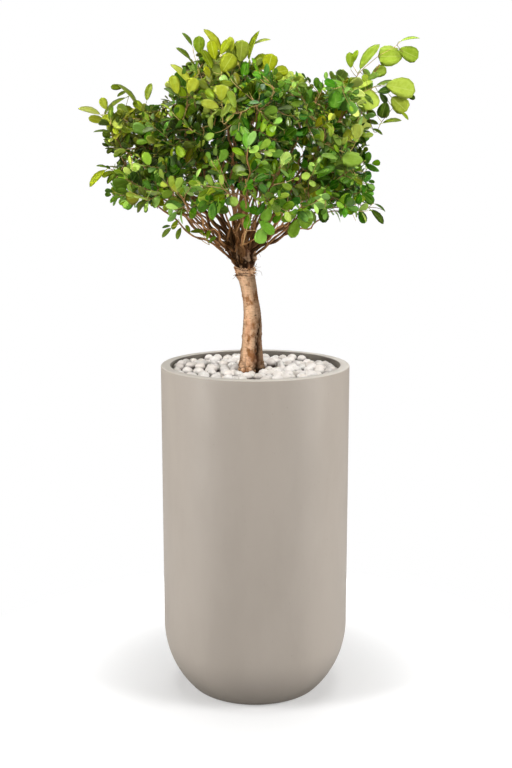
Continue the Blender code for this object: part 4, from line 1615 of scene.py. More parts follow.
@dataclass(frozen=True)
class Mass:
    """A mass of foliage: an egg round its middle, cut back to the points nearer to it than to any other."""

    name: str
    ring: str
    middle: Array
    half: Array
    bough: tuple[Array, ...]
    bough_radius: float
    kind: LeafKind
    shoots: int
    leaf_length: float
    age: float
    warmth: float

    @property
    def piece(self) -> tuple[LeafKind, str]:
        """The joined piece that its leaves go into: their kind, and the piece's place in the crown."""
        return self.kind, f"{self.ring}_{'front' if self.middle[1] < 0 else 'back'}"


@dataclass
class Crown:
    """The plan of the crown, by the same rule as the solids: each mass, and how its bough reaches it."""

    head: tuple[float, float, float] = (-0.0255, 0.0, 0.943)
    head_radius: float = 0.027
    middle: tuple[float, float, float] = (-0.02, 0.0, 1.12)
    half: tuple[float, float, float] = (0.34, 0.3, 0.27)
    clearance: float = 0.0004
    entry: float = 0.8
    bough_lead: float = 0.006
    bough_pull: float = 0.9
    # How much lower the ceiling is away from the middle, by the square of y.
    ceiling_fall: float = 0.45
    # How steeply each ring of boughs leaves the knuckle, in degrees from straight up, and its radius.
    launch: tuple[tuple[str, float, float], ...] = (
        ("low", 70, 0.0048), ("mid", 43, 0.0046), ("top", 15, 0.0042),
    )
    # The crown's upper and lower outline over x, without its leading shoots.
    ceiling: tuple = (
        (-0.349, 1.2), (-0.317, 1.218), (-0.266, 1.228), (-0.2, 1.238), (-0.172, 1.25), (-0.153, 1.285),
        (-0.132, 1.312), (-0.112, 1.338), (-0.081, 1.348), (-0.051, 1.346), (-0.021, 1.34), (0.002, 1.328),
        (0.026, 1.312), (0.054, 1.3), (0.091, 1.296), (0.115, 1.288), (0.14, 1.298), (0.172, 1.296),
        (0.192, 1.272), (0.218, 1.245), (0.248, 1.2),
    )
    underside: tuple = (
        (-0.3, 1.085), (-0.27, 1.07), (-0.22, 1.064), (-0.166, 1.054), (-0.135, 1.052), (-0.094, 1.062),
        (-0.052, 1.08), (-0.011, 1.076), (0.031, 1.062), (0.062, 1.046), (0.093, 1.044), (0.16, 1.046),
        (0.249, 1.05),
    )
    # A gap in the front, where the middle stem shows: its middle in x and z, its half sizes and its lean.
    gap: tuple[float, float, float, float, float] = (-0.047, 1.14, 0.022, 0.098, -0.19)
    # How far it reaches in x and in y.
    sides: tuple[float, float] = (-0.29, 0.226)
    depths: tuple[float, float] = (-0.258, 0.285)
    # The masses of young leaves. All others are mature.
    young: tuple[str, ...] = ("mid_left", "mid_upper_right", "top_right", "top_left")
    # Each mass: its name, bearing, reach from the knuckle, height, half width and half height,
    # then its shoots, the length of its leaves, their age with painted light and shade, and warmth from 0 to
    # 1.
    low: tuple = (
        ("right", 0, 0.222, 1.078, 0.095, 0.094, 24, 0.026, 0.46, 0.25),
        ("back_right", 45, 0.225, 1.11, 0.1, 0.094, 28, 0.026, 0.34, 0.25),
        ("back", 90, 0.215, 1.12, 0.1, 0.094, 28, 0.026, 0.32, 0.25),
        ("back_left", 135, 0.225, 1.12, 0.1, 0.094, 28, 0.026, 0.32, 0.35),
        ("left", 180, 0.232, 1.115, 0.094, 0.094, 35, 0.024, 0.27, 0.55),
        ("front_left", 225, 0.216, 1.068, 0.1, 0.094, 27, 0.025, 0.43, 0.36),
        ("front", 272, 0.204, 1.08, 0.098, 0.094, 23, 0.027, 0.56, 0.2),
        ("front_right", 318, 0.211, 1.07, 0.098, 0.094, 22, 0.027, 0.47, 0.18),
    )
    mid: tuple = (
        ("right", 10, 0.245, 1.222, 0.098, 0.082, 31, 0.027, 0.5, 0.4),
        ("back_right", 52, 0.2, 1.245, 0.1, 0.086, 26, 0.028, 0.46, 0.35),
        ("back", 98, 0.195, 1.25, 0.1, 0.086, 26, 0.028, 0.44, 0.4),
        ("back_left", 143, 0.2, 1.232, 0.098, 0.078, 26, 0.028, 0.44, 0.45),
        ("left", 184, 0.243, 1.232, 0.094, 0.062, 23, 0.025, 0.45, 0.88),
        ("front_left", 228, 0.165, 1.225, 0.096, 0.086, 28, 0.026, 0.35, 0.38),
        ("front", 280, 0.165, 1.225, 0.096, 0.084, 28, 0.027, 0.3, 0.14),
        ("front_right", 322, 0.175, 1.235, 0.098, 0.082, 28, 0.028, 0.57, 0.18),
        ("upper_right", 348, 0.276, 1.318, 0.092, 0.076, 8, 0.034, 0.6, 0.62),
    )
    top: tuple = (
        ("right", 345, 0.052, 1.322, 0.083, 0.072, 16, 0.03, 0.42, 0.55),
        ("back", 75, 0.085, 1.325, 0.09, 0.068, 18, 0.03, 0.47, 0.65),
        ("left", 188, 0.082, 1.326, 0.082, 0.074, 17, 0.029, 0.43, 0.66),
        ("heart", 250, 0.055, 1.17, 0.085, 0.08, 24, 0.025, 0.26, 0.4),
    )

    def __post_init__(self) -> None:
        """Work out every mass and its bough's path."""
        head = np.array(self.head)
        self.masses: list[Mass] = []
        for ring, steepness, bough_radius in self.launch:
            rows = getattr(self, ring)
            for place, (name, bearing, reach, height, wide, tall, *foliage) in enumerate(rows):
                middle = head + polar(90, bearing) * reach
                middle[2] = height
                half = np.array((wide, wide, tall))
                way = polar(steepness, rows[0][1] + 360 * place / len(rows))
                start = head + way * (self.head_radius + self.clearance)
                back = unit(start - middle)
                end = middle + back * (self.entry / float(np.linalg.norm(back / half)))
                pull = float(np.linalg.norm(end - start)) * self.bough_pull
                lead, trail = start + way * self.bough_lead, end + back * self.bough_lead
                bough = (start, *hermite(lead, way * pull, trail, -back * pull, 7), end)
                full = f"{ring}_{name}"
                kind = LeafKind.YOUNG if full in self.young else LeafKind.MATURE
                self.masses.append(Mass(full, ring, middle, half, bough, bough_radius, kind, *foliage))
        self.middles = np.array([mass.middle for mass in self.masses])

    def inside(self, points: Array, number: int) -> Array:
        """Which points are in a mass's space.

        Args:
            points: one point to a row.
            number: the mass's place in the list.

        Returns:
            True or False for each point.
        """
        mass = self.masses[number]
        in_egg = np.linalg.norm((points - mass.middle) / mass.half, axis=1) < 1.0
        far = np.linalg.norm(points[:, None] - self.middles[None], axis=2)
        return in_egg & (far.argmin(axis=1) == number)

    def depth_in(self, point: Array) -> float:
        """How far in a point is, from 0 at the outside of the crown to 1 at its middle."""
        off = (point - np.array(self.middle)) / np.array(self.half)
        return float(np.clip(1.0 - np.linalg.norm(off), 0.0, 1.0))

    def within(self, point: Array, margin: float) -> bool:
        """Check a point against the crown's outline.

        Args:
            point: the point.
            margin: how far outside the outline still counts.

        Returns:
            Whether it is inside, and not in the gap.
        """
        x, y, z = point
        ceiling = float(np.interp(x, *zip(*self.ceiling))) - self.ceiling_fall * y * y
        floor = float(np.interp(x, *zip(*self.underside))) + 0.018 * max(0.0, 1 - abs(y) / 0.12)
        floor -= 0.012 * (y < -0.1)
        across = self.sides[0] - margin < x < self.sides[1] + margin and self.depths[0] < y < self.depths[1]
        gap_x, gap_z, half_x, half_z, lean = self.gap
        x_off, z_off = (x - gap_x - (z - gap_z) * lean) / half_x, (z - gap_z) / half_z
        in_gap = y < -0.05 and hypot(x_off, z_off) < 1.0
        return across and not in_gap and floor - margin * 0.5 < z < ceiling + margin


@dataclass
class Limb:
    """A stem or twig: its path, the limb that carries it, and how many it carries itself."""

    path: Array
    parent: "Limb | None" = None
    carried: int = 0
    leafy: bool = False

    def carry(self) -> None:
        """Count one more twig on this limb and on those that it grows from."""
        self.carried += 1
        if self.parent is not None:
            self.parent.carry()


@dataclass(frozen=True)
class Shoot:
    """A leafy shoot: its mass and path, its leaves' age with painted light and shade and warmth, and its own
    scale.
    """

    mass: Mass
    path: Array
    age: float
    warmth: float
    vigour: float


@dataclass
class LeafForm:
    """One shape of leaf, made once and repeated: a closed thin blade of a few faces on a short stalk."""

    fullness: float         # the share of its length where it is widest
    bluntness: float        # lower is rounder at both ends
    width: float            # as a share of its length
    fold: float             # how steeply each half rises from the midrib
    droop: float            # how far its tip bends down, as a share of its length
    wave: float             # how much its margin waves
    rows: tuple[float, ...] = (0.0, 0.07, 0.24, 0.48, 0.72, 0.9, 1.0)
    columns: int = 4
    thickness: float = 0.012
    stalk: float = 0.13
    overlap: float = 0.03       # how far the stalk runs into the blade

    def half_width(self, share: float) -> float:
        """Work out the blade's outline.

        Args:
            share: how far along the blade, as a share of its length.

        Returns:
            Half its width there, as a share of its length.
        """
        if share <= 0.0 or share >= 1.0:
            return 0.0
        rise = self.bluntness * self.fullness / (1 - self.fullness)
        top = self.fullness**rise * (1 - self.fullness) ** self.bluntness
        return self.width / 2 * share**rise * (1 - share) ** self.bluntness / top

    def build(self) -> None:
        """Shape a grid into the blade, close it below, add the stalk and keep it all as arrays."""
        bm = bmesh.new()
        bmesh.ops.create_grid(bm, x_segments=self.columns, y_segments=len(self.rows) - 1, size=0.5)
        uv_layer = bm.loops.layers.uv.new("UVMap")
        under_layer = bm.faces.layers.int.new("under")
        steps = len(self.rows) - 1
        placed = {vert: (vert.co.x * 2, self.rows[round((vert.co.y + 0.5) * steps)]) for vert in bm.verts}
        for loop in (loop for face in bm.faces for loop in face.loops):
            across, share = placed[loop.vert]
            loop[uv_layer].uv = (0.5 + across / 2, share)
        for vert, (across, share) in placed.items():
            half = self.half_width(share)
            lift = self.fold * abs(across) * half
            lift += self.wave * abs(across) ** 2 * sin(share * 9 + across * 2) * half
            vert.co = Vector((share, across * half, lift - self.droop * share**2))
        bmesh.ops.remove_doubles(bm, verts=bm.verts, dist=MERGED)
        bmesh.ops.recalc_face_normals(bm, faces=bm.faces)
        if sum(face.normal.z for face in bm.faces) < 0:
            bmesh.ops.reverse_faces(bm, faces=bm.faces)
        inner = {vert for vert in bm.verts if not vert.is_boundary}
        copied = bmesh.ops.duplicate(bm, geom=bm.faces[:])
        below = [item for item in copied["geom"] if isinstance(item, bmesh.types.BMFace)]
        bmesh.ops.reverse_faces(bm, faces=below)
        for source, copy in copied["vert_map"].items():
            if source in inner:
                copy.co.z -= self.thickness
        for face in below:
            face[under_layer] = 1
        bmesh.ops.remove_doubles(bm, verts=bm.verts, dist=MERGED)
        self._add_stalk(bm, uv_layer)
        bm.verts.index_update()
        loops = [loop for face in bm.faces for loop in face.loops]
        self.points = np.array([vert.co[:] for vert in bm.verts])
        self.corners = np.array([loop.vert.index for loop in loops])
        self.sizes = np.array([len(face.verts) for face in bm.faces])
        self.uvs = np.array([loop[uv_layer].uv[:] for loop in loops])
        self.under = np.array([float(loop.face[under_layer]) for loop in loops])
        bm.free()

    def _add_stalk(self, bm: Mesh, uv_layer: object) -> None:
        """Add the stalk: a thin rod from the twig to just inside the blade.

        Args:
            bm: the leaf.
            uv_layer: its UVs.
        """
        size = {"radius1": 0.02, "radius2": 0.014, "depth": self.stalk + self.overlap}
        made = bmesh.ops.create_cone(bm, cap_ends=True, segments=3, **size)
        place = Matrix.Translation(((self.overlap - self.stalk) / 2, 0, -self.thickness / 2))
        place = place @ Matrix.Rotation(pi / 2, 4, "Y")
        bmesh.ops.transform(bm, matrix=place, verts=made["verts"])
        for face in {face for vert in made["verts"] for face in vert.link_faces}:
            for loop in face.loops:
                loop[uv_layer].uv = (0.5, 0.0)


@dataclass(frozen=True)
class Leaf:
    """One leaf: its shape, its blade's foot, the ways it points and faces, its size and its colour."""

    form: int
    foot: Array
    along: Array
    face: Array
    length: float
    wide: float
    age: float
    chance: float
    warmth: float

    def frame(self) -> Array:
        """The leaf's own axes, one to a row, at its size."""
        side = unit(np.cross(self.face, self.along))
        return np.stack([self.along, side * self.wide, np.cross(self.along, side)]) * self.length


@dataclass
class LeafBatch:
    """Leaves of one piece, gathered before they are made."""

    forms: Sequence[LeafForm]
    leaves: list[Leaf] = field(default_factory=list)

    def build(self, name: str) -> Piece:
        """Make the piece: every leaf's shape placed and joined.

        Args:
            name: the piece's name.

        Returns:
            The piece.
        """
        joined = JoinedMesh()
        for number, form in enumerate(self.forms):
            group = [leaf for leaf in self.leaves if leaf.form == number]
            if not group:
                continue
            count = len(group)
            feet = np.array([leaf.foot for leaf in group])[:, None]
            frames = np.array([leaf.frame() for leaf in group])
            points = (np.einsum("pk,nkj->npj", form.points, frames) + feet).reshape(-1, 3)
            corners = (form.corners[None] + np.arange(count)[:, None] * len(form.points)).reshape(-1)
            tints = np.empty((count, len(form.corners), 4))
            tints[:] = np.array([(leaf.age, leaf.chance, 0.0, leaf.warmth) for leaf in group])[:, None]
            tints[:, :, 2] = form.under
            sizes, uvs = np.tile(form.sizes, count), np.tile(form.uvs, (count, 1))
            joined.add(points, corners, sizes, uvs, tints.reshape(-1, 4))
        return joined.build(name)


@dataclass
class Foliage:
    """Boughs, twigs and leaves grown over the crown's plan."""

    crown: Crown
    trunk: Trunk
    bough_bark: BarkFinish
    twig_bark: BarkFinish
    leaf_finishes: dict
    leaders: Sequence[Leader]
    fan: Sequence[Stem]
    forks: tuple[tuple[str, int], ...] = (("low", 2), ("mid", 1), ("top", 0))
    leafy_end: float = 0.078
    internode: float = 0.0074
    density: float = 1.66
    core_rise: float = 0.26
    # How much warmer a shoot is than its mass for being younger, by ring.
    warming: dict[str, float] = field(default_factory=lambda: {"low": -0.9, "mid": 0.2, "top": 1.0})
    hairs: int = 46
    hair_heights: tuple[float, float] = (0.905, 0.95)
    sampled: int = 1600         # points tried in each mass's space
    step: float = 0.009         # how far apart a shoot's points are
    # The heights inside the knuckle at which a bough starts and comes out.
    root_height: float = 0.918
    cheek_height: float = 0.936
    # The share of shoots that are a fresh flush, and how much younger they are.
    flush_share: float = 0.27
    flush_age: float = 0.34
    missing: float = 0.06       # the share of leaves that have dropped
    # A twig's radius at its foot without twigs of its own, what each of those adds, and at its tip.
    twig_foot: float = 0.0009
    twig_added: float = 0.0003
    twig_tip: float = 0.0005
    # Shares of the leaf shapes, in their order, and the shape of a wide, a middling and a narrow placed leaf.
    mixture: tuple[float, ...] = (0.34, 0.26, 0.18, 0.12, 0.1)
    placed_forms: tuple[int, int, int] = (3, 0, 2)
    # A placed leaf looks this much wider than drawn, and its blade and tip reach this much further.
    placed_width: float = 1.1
    placed_reach: tuple[float, float] = (0.03, 0.04)

    def __post_init__(self) -> None:
        """Make the leaf shapes and the empty batches."""
        self.forms = [
            LeafForm(0.6, 0.52, 0.62, 0.16, 0.1, 0.05),
            LeafForm(0.57, 0.46, 0.7, 0.1, 0.06, 0.08),
            LeafForm(0.54, 0.62, 0.54, 0.26, 0.16, 0.04),
            LeafForm(0.62, 0.42, 0.8, 0.08, -0.05, 0.06),
            LeafForm(0.52, 0.8, 0.42, 0.22, 0.2, 0.1),
        ]
        for form in self.forms:
            form.build()
        self.boughs = JoinedMesh()
        self.twigs = JoinedMesh()
        self.batches = {mass.piece: LeafBatch(self.forms) for mass in self.crown.masses}
        self.limbs: dict[str, list[Limb]] = {}

    def grow(self) -> None:
        """Grow every mass and make the pieces."""
        for number, mass in enumerate(self.crown.masses):
            self._grow_mass(number, mass)
        for leader in self.leaders:
            self._grow_leader(leader)
        for mass in self.crown.masses:
            self._flesh_out(mass)
        self._place_fan()
        self._root_hairs()
        names = [mass.name for mass in self.crown.masses]
        boughs = self.boughs.build("boughs")
        place_piece(boughs, "bough_bark", self.bough_bark.build(), *(f"bough_{name}" for name in names))
        twigs = self.twigs.build("twigs")
        place_piece(twigs, "bough_bark", self.twig_bark.build())
        finishes = {kind: finish.build() for kind, finish in self.leaf_finishes.items()}
        for (kind, part), batch in self.batches.items():
            nodes = [f"foliage_{mass.name}" for mass in self.crown.masses if mass.piece == (kind, part)]
            piece = batch.build(f"{kind.value}_{part}")
            place_piece(piece, kind.value, finishes[kind], *nodes)
            LOG.info("%s: %d leaves", piece.name, len(batch.leaves))

    def _grow_mass(self, number: int, mass: Mass) -> None:
        """Grow one mass: its bough and stem, low forks beside them, then leafy shoots spread over its space.

        Args:
            number: the mass's place in the plan.
            mass: the mass.
        """
        rng = np.random.default_rng(SEED + number)
        limbs = [self._main_stem(mass, rng)]
        self.limbs[mass.name] = limbs
        space = self._sample_space(number, mass, rng)
        for _ in range(dict(self.forks)[mass.ring]):
            limbs.append(self._low_fork(limbs[0], space, rng))
        stems = list(limbs)
        targets = self._spread(space, round(mass.shoots * self.density))
        near = [min(self._gap(limb, target) for limb in stems) for target in targets]
        for place in np.argsort(near):
            self._leafy_shoot(targets[place], limbs, mass, rng)

    def _main_stem(self, mass: Mass, rng: Rng) -> Limb:
        """Grow the bough from inside the knuckle, along its solid's path and on through its mass.

        Args:
            mass: the mass.
            rng: the random numbers.

        Returns:
            The limb.
        """
        head = np.array(self.crown.head)
        way = unit(mass.bough[0] - head)
        flat = unit(way * (1.0, 1.0, 0.0))
        low, high = self.root_height + 0.01 * (1 - abs(way[2])), self.cheek_height
        root = self.trunk.centre(low) + flat * (self.trunk.radius(low) * 0.45)
        cheek = self.trunk.centre(high) + flat * (self.trunk.radius(high) * 0.74)
        rise = unit(unit(mass.middle - mass.bough[-1]) + UP * 0.4) * min(1.0, mass.shoots / 10 - 0.6)
        end = mass.middle + rise * (mass.half[2] * self.core_rise)
        knots = [root, cheek, mass.bough[1], *mass.bough[3:-1:2], mass.bough[-1], mass.middle, end]
        return Limb(self._wander(smooth_path(knots, 0.006), rng, 0.0026))

    def _low_fork(self, main: Limb, space: Array, rng: Rng) -> Limb:
        """Grow a thinner stem that leaves the bough low down and runs beside it into the mass.

        Args:
            main: the bough.
            space: points in the mass's space.
            rng: the random numbers.

        Returns:
            The limb.
        """
        start, way = point_at(main.path, rng.uniform(0.05, 0.26))
        target = space[rng.integers(len(space))]
        gap = target - start
        far = float(np.linalg.norm(gap))
        bowed = unit(unit(gap) + way * rng.uniform(0.3, 1.0) + rng.normal(size=3) * 0.12)
        arrive = unit(gap + UP * far * 0.35)
        path = hermite(start, bowed * far * 0.8, target, arrive * far * 0.8, max(6, round(far / self.step)))
        return Limb(self._wander(path, rng, 0.0046), main)

    @staticmethod
    def _wander(path: Array, rng: Rng, size: float) -> Array:
        """Give a path smooth small bends, and keep its ends.

        Args:
            path: the path.
            rng: the random numbers.
            size: how wide the bends are.

        Returns:
            The bent path.
        """
        far = lengths_along(path)
        hold = np.sin(np.clip(far / far[-1], 0, 1) * pi) ** 0.5
        moved = path.copy()
        for axis in range(3):
            for wave in (0.09, 0.04):
                ripple = np.sin(far / wave * 2 * pi + rng.uniform(0, 6.3))
                moved[:, axis] += hold * size * (wave / 0.09) * ripple
        return moved

    def _sample_space(self, number: int, mass: Mass, rng: Rng) -> Array:
        """Pick random points over the outer part of a mass's space.

        Args:
            number: the mass's place in the plan.
            mass: the mass.
            rng: the random numbers.

        Returns:
            The points, one to a row.
        """
        way = unit(rng.normal(size=(self.sampled, 3)))
        out = rng.uniform(0.16, 1.0, (self.sampled, 1)) ** 0.5
        points = mass.middle + way * out * mass.half
        within = np.array([self.crown.within(point, 0.0) for point in points])
        return points[self.crown.inside(points, number) & within]

    @staticmethod
    def _spread(points: Array, count: int) -> Array:
        """Choose points that are far apart.

        Args:
            points: the points to choose from.
            count: how many are wanted.

        Returns:
            The points chosen, each as far as can be from those before it.
        """
        chosen = [points[0]]
        far = np.linalg.norm(points - chosen[0], axis=1)
        for _ in range(count - 1):
            chosen.append(points[far.argmax()])
            far = np.minimum(far, np.linalg.norm(points - chosen[-1], axis=1))
        return np.array(chosen)

    @staticmethod
    def _gap(limb: Limb, target: Array) -> float:
        """How far a limb is from a target."""
        return float(np.linalg.norm(limb.path - target, axis=1).min())

    def _nearest(self, limbs: Sequence[Limb], target: Array) -> tuple[Limb, float]:
        """Find where a shoot to a target starts.

        Args:
            limbs: the limbs that may carry it.
            target: the shoot's end.

        Returns:
            The limb nearest to the target, and the share of its length where the shoot leaves it.
        """
        limb = min(limbs, key=lambda one: self._gap(one, target))
        gaps = np.linalg.norm(limb.path - target, axis=1)
        far = lengths_along(limb.path)
        at = far[gaps.argmin()] - gaps.min() * 0.6
        lowest = 0.35 if limb.parent is None else 0.22
        return limb, float(np.clip(at / far[-1], lowest, 0.97))

    def _leafy_shoot(self, target: Array, limbs: list[Limb], mass: Mass, rng: Rng) -> None:
        """Grow a shoot from the nearest limb to a target, with leaves along its outer part.

        Args:
            target: its end.
            limbs: the limbs that may carry it, which it joins.
            mass: the mass.
            rng: the random numbers.
        """
        parent, share = self._nearest(limbs, target)
        start, way = point_at(parent.path, share)
        gap = target - start
        reach = float(np.linalg.norm(gap))
        leave = unit(unit(gap) * 0.8 + way * 0.7)
        arrive = unit(unit(gap) + UP * 0.5)
        path = hermite(start, leave * reach, target, arrive * reach * 0.8, max(5, round(reach / self.step)))
        limb = Limb(path, parent, leafy=True)
        parent.carry()
        limbs.append(limb)
        length = lengths_along(path)[-1]
        leafy = min(self.leafy_end, length * 0.86)
        count = max(4, round(leafy / self.internode))
        spin = rng.uniform(0, 2 * pi)
        shoot = Shoot(mass, path, *self._shoot_colour(mass, target, rng), rng.uniform(0.68, 1.2))
        for i in range(count + 1):
            place = 1.0 - leafy / length * (1 - i / count)
            self._shoot_leaf(shoot, place, spin + i * GOLDEN_ANGLE, i / count, rng)

    def _shoot_colour(self, mass: Mass, tip: Array, rng: Rng) -> tuple[float, float]:
        """Deal out the colour of a shoot's leaves, darker and duller inside the crown as painted shade.

        Args:
            mass: the mass.
            tip: the shoot's end.
            rng: the random numbers.

        Returns:
            Their age with painted light and shade, and their warmth.
        """
        inside = self.crown.depth_in(tip)
        flush = self.flush_age if rng.uniform() < self.flush_share else 0.0
        own = float(np.clip(1.0 - np.linalg.norm((tip - mass.middle) / mass.half), 0.0, 1.0))
        skirt = float(np.clip((1.125 - tip[2]) / 0.08, 0.0, 1.0))
        # Painted shade deep in the crown and deep in the mass, and painted light low down under the other
        # leaves.
        age = mass.age - 0.38 * inside - 0.25 * own + 0.15 * skirt + flush + rng.normal(0.01, 0.11)
        warmth = mass.warmth + self.warming[mass.ring] * (age - mass.age) + rng.normal(0.0, 0.28)
        return float(np.clip(age, 0.0, 1.0)), float(np.clip(warmth, 0.0, 1.0))

    def _shoot_leaf(self, shoot: Shoot, place: float, spin: float, onward_share: float, rng: Rng) -> None:
        """Grow one leaf on a shoot.

        Args:
            shoot: the shoot.
            place: the share of its path where the leaf grows.
            spin: the leaf's turn round it.
            onward_share: how far along its leafy part the leaf is, from 0 to 1.
            rng: the random numbers.
        """
        base, onward = point_at(shoot.path, place)
        side = turned_about(square_to(onward), onward, spin + rng.uniform(-0.4, 0.4))
        lean = 0.3 if onward_share == 1.0 else rng.uniform(0.8, 1.5)
        along = unit(onward + side * lean - UP * rng.uniform(0.0, 0.25))
        out = unit(base - np.array(self.crown.middle))
        face = unit(UP * 0.5 + out * 0.7 + side * 0.2 + rng.normal(size=3) * 0.5)
        if abs(float(face @ along)) > 0.93:
            face = unit(face + square_to(along))
        tip_size = 1.0 - 0.45 * max(0.0, onward_share - 0.72) / 0.28 * rng.uniform(0.3, 1.0)
        length = shoot.mass.leaf_length * shoot.vigour * tip_size * rng.uniform(0.6, 1.24)
        if not self.crown.within(base, 0.01) or rng.uniform() < self.missing:
            return
        form = int(rng.choice(len(self.forms), p=self.mixture))
        age = float(np.clip(shoot.age + 0.16 * (onward_share - 0.5) + rng.normal(0, 0.1), 0, 1))
        foot = base + along * (length * self.forms[form].stalk)
        chance = rng.uniform()
        warmth = float(np.clip(shoot.warmth + 0.8 * (chance - 0.5), 0.0, 1.0))
        leaf = Leaf(form, foot, along, face, length, rng.uniform(0.9, 1.1), age, chance, warmth)
        self.batches[shoot.mass.piece].leaves.append(leaf)

    def _grow_leader(self, leader: Leader) -> None:
        """Grow a leading shoot from the nearest limb of its mass, and set its leaves.

        Args:
            leader: the shoot's plan.
        """
        mass = next(mass for mass in self.crown.masses if mass.name == leader.mass)
        seed = SEED + abs(leader.depth) + len(leader.leaves) * 100 + abs(leader.stem[0][0])
        rng = np.random.default_rng(seed)
        depth = leader.depth / 1000
        stem = np.array([(x / 1000, depth + rng.uniform(-0.004, 0.004), z / 1000) for x, z in leader.stem])
        parent, share = self._nearest(self.limbs[mass.name], stem[0])
        start, way = point_at(parent.path, share)
        parent.carry()
        path = smooth_path([start, start + way * 0.25 * float(np.linalg.norm(stem[0] - start)), *stem], 0.006)
        self.limbs[mass.name].append(Limb(path, parent, leafy=True))
        for x0, z0, x1, z1, width, age, warmth in leader.leaves:
            foot = np.array((x0 / 1000, depth + rng.uniform(-0.01, 0.01), z0 / 1000 + 0.0015))
            tip = np.array((x1 / 1000, foot[1] + rng.uniform(-0.006, 0.006), z1 / 1000 + 0.0015))
            before, beyond = self.placed_reach
            foot, tip = foot - (tip - foot) * before, tip + (tip - foot) * beyond
            seen = width * self.placed_width / 1000
            length = float(np.linalg.norm(tip - foot))
            along = (tip - foot) / length
            wide, middling, narrow = self.placed_forms
            number = wide if seen > 0.72 * length else (middling if seen > 0.45 * length else narrow)
            form = self.forms[number]
            stalk = foot - along * (length * form.stalk)
            gaps = np.linalg.norm(path - stalk, axis=1)
            if gaps.min() > 0.002:
                join = path[max(0, int(gaps.argmin()) - 1)]
                bent = np.array([join, join + (stalk - join) * 0.55 - UP * 0.0008, stalk])
                radii = np.array((0.0007, 0.0006, 0.0005))
                self.twigs.tube(bent, radii, 4, (rng.uniform(), 0.0, 0.0, 0.9, 0.9))
            true_width = max(seen, 0.46 * length)
            toward = unit(FRONT - along * float(along @ FRONT))
            roll = acos(min(1.0, seen / true_width)) * 0.9
            face = max((turned_about(toward, along, sign * roll) for sign in (-1, 1)), key=lambda one: one[2])
            size = (length, true_width / (length * form.width))
            leaf = Leaf(number, foot, along, face, *size, age / 100, rng.uniform(0.3, 0.7), warmth / 100)
            self.batches[mass.piece].leaves.append(leaf)

    def _flesh_out(self, mass: Mass) -> None:
        """Make a mass's limbs, each as thick as what it carries asks for."""
        rng = np.random.default_rng(SEED + sum(map(ord, mass.name)))
        for number, limb in enumerate(self.limbs[mass.name]):
            far = lengths_along(limb.path)
            share = far / far[-1]
            # A tint's second number is the painted shade at the limb's foot, where the limbs crowd together
            # near the knuckle.
            if number == 0:
                stout = mass.bough_radius * rng.uniform(0.62, 0.92)
                along = (0.0, 0.1, 0.22, 0.55, 1.0)
                radii = np.interp(share, along, (0.0056, stout * 1.15, stout, 0.0023, 0.0011))
                radii = radii * (1 + 0.08 * np.sin(share * 55 + rng.uniform(0, 6)))
                self.boughs.tube(limb.path, radii, 9, (rng.uniform(), 0.97, rng.uniform(0.0, 0.35), 0.0, 0.3))
            elif not limb.leafy:
                radii = np.interp(share, (0.0, 0.5, 1.0), (rng.uniform(0.0019, 0.003), 0.0016, 0.0009))
                self.boughs.tube(limb.path, radii, 7, (rng.uniform(), 0.75, rng.uniform(0.0, 0.35), 0.0, 0.5))
            else:
                foot = self.twig_foot + self.twig_added * sqrt(limb.carried)
                tip_young = 0.5 if mass.ring == "low" else 0.9
                radii = np.linspace(foot, self.twig_tip, len(limb.path))
                self.twigs.tube(limb.path, radii, 5, (rng.uniform(), 0.1, 0.1, 0.1, tip_young))

    def _place_fan(self) -> None:
        """Add the placed stems of the fan."""
        for number, stem in enumerate(self.fan):
            rng = np.random.default_rng(SEED + 300 + number)
            knots = [np.array((x, stem.depth, z)) / 1000 for x, z in stem.path]
            path = self._wander(smooth_path(knots, 0.004), rng, 0.002)
            share = lengths_along(path) / lengths_along(path)[-1]
            radii = np.interp(share, (0.0, 1.0), (stem.foot / 1000, stem.tip / 1000))
            radii = radii * (1 + 0.1 * np.sin(share * 31 + rng.uniform(0, 6)) + 0.06 * np.sin(share * 83))
            # The foot of each fan stem is darkened with painted shade.
            self.boughs.tube(path, radii, 9, (stem.pale / 100, 0.8, 0.0, 0.0, 0.1))

    def _root_hairs(self) -> None:
        """Fine dry hairs round the knuckle and the foot of the boughs."""
        rng = np.random.default_rng(SEED + 99)
        for _ in range(self.hairs):
            height = rng.uniform(*self.hair_heights)
            bearing = rng.uniform(0, 2 * pi)
            out = np.array((cos(bearing), sin(bearing), 0.0))
            foot = self.trunk.centre(height) + out * (self.trunk.radius(height) * 0.9)
            way = unit(out + rng.normal(size=3) * 0.5 - UP * 0.2)
            length = rng.uniform(0.008, 0.02)
            middle = foot + way * length * 0.5 + rng.normal(size=3) * 0.004
            path = smooth_path([foot, middle, foot + way * length - UP * 0.003], 0.004)
            radii = np.linspace(0.0004, 0.0002, len(path))
            self.twigs.tube(path, radii, 4, (rng.uniform(), 0.7, 0.7, 0.0, 0.0))


# ============================================================ studio
@dataclass(frozen=True)
class Softbox:
    """A rectangular light: its place and aim, its width and height, its power in watts and its spread."""

    name: str
    place: tuple[float, float, float]
    aim: tuple[float, float, float]
    width: float
    height: float
    power: float
    spread: float = 180.0

    def build(self) -> None:
        """Put the light into the scene."""
        data = bpy.data.lights.new(self.name, "AREA")
        data.shape = "RECTANGLE"
        data.size, data.size_y = self.width, self.height
        data.energy, data.spread = self.power, radians(self.spread)
        light = add_to_scene(self.name, data)
        light.location = self.place
        light.rotation_euler = (Vector(self.aim) - Vector(self.place)).to_track_quat("-Z", "Y").to_euler()


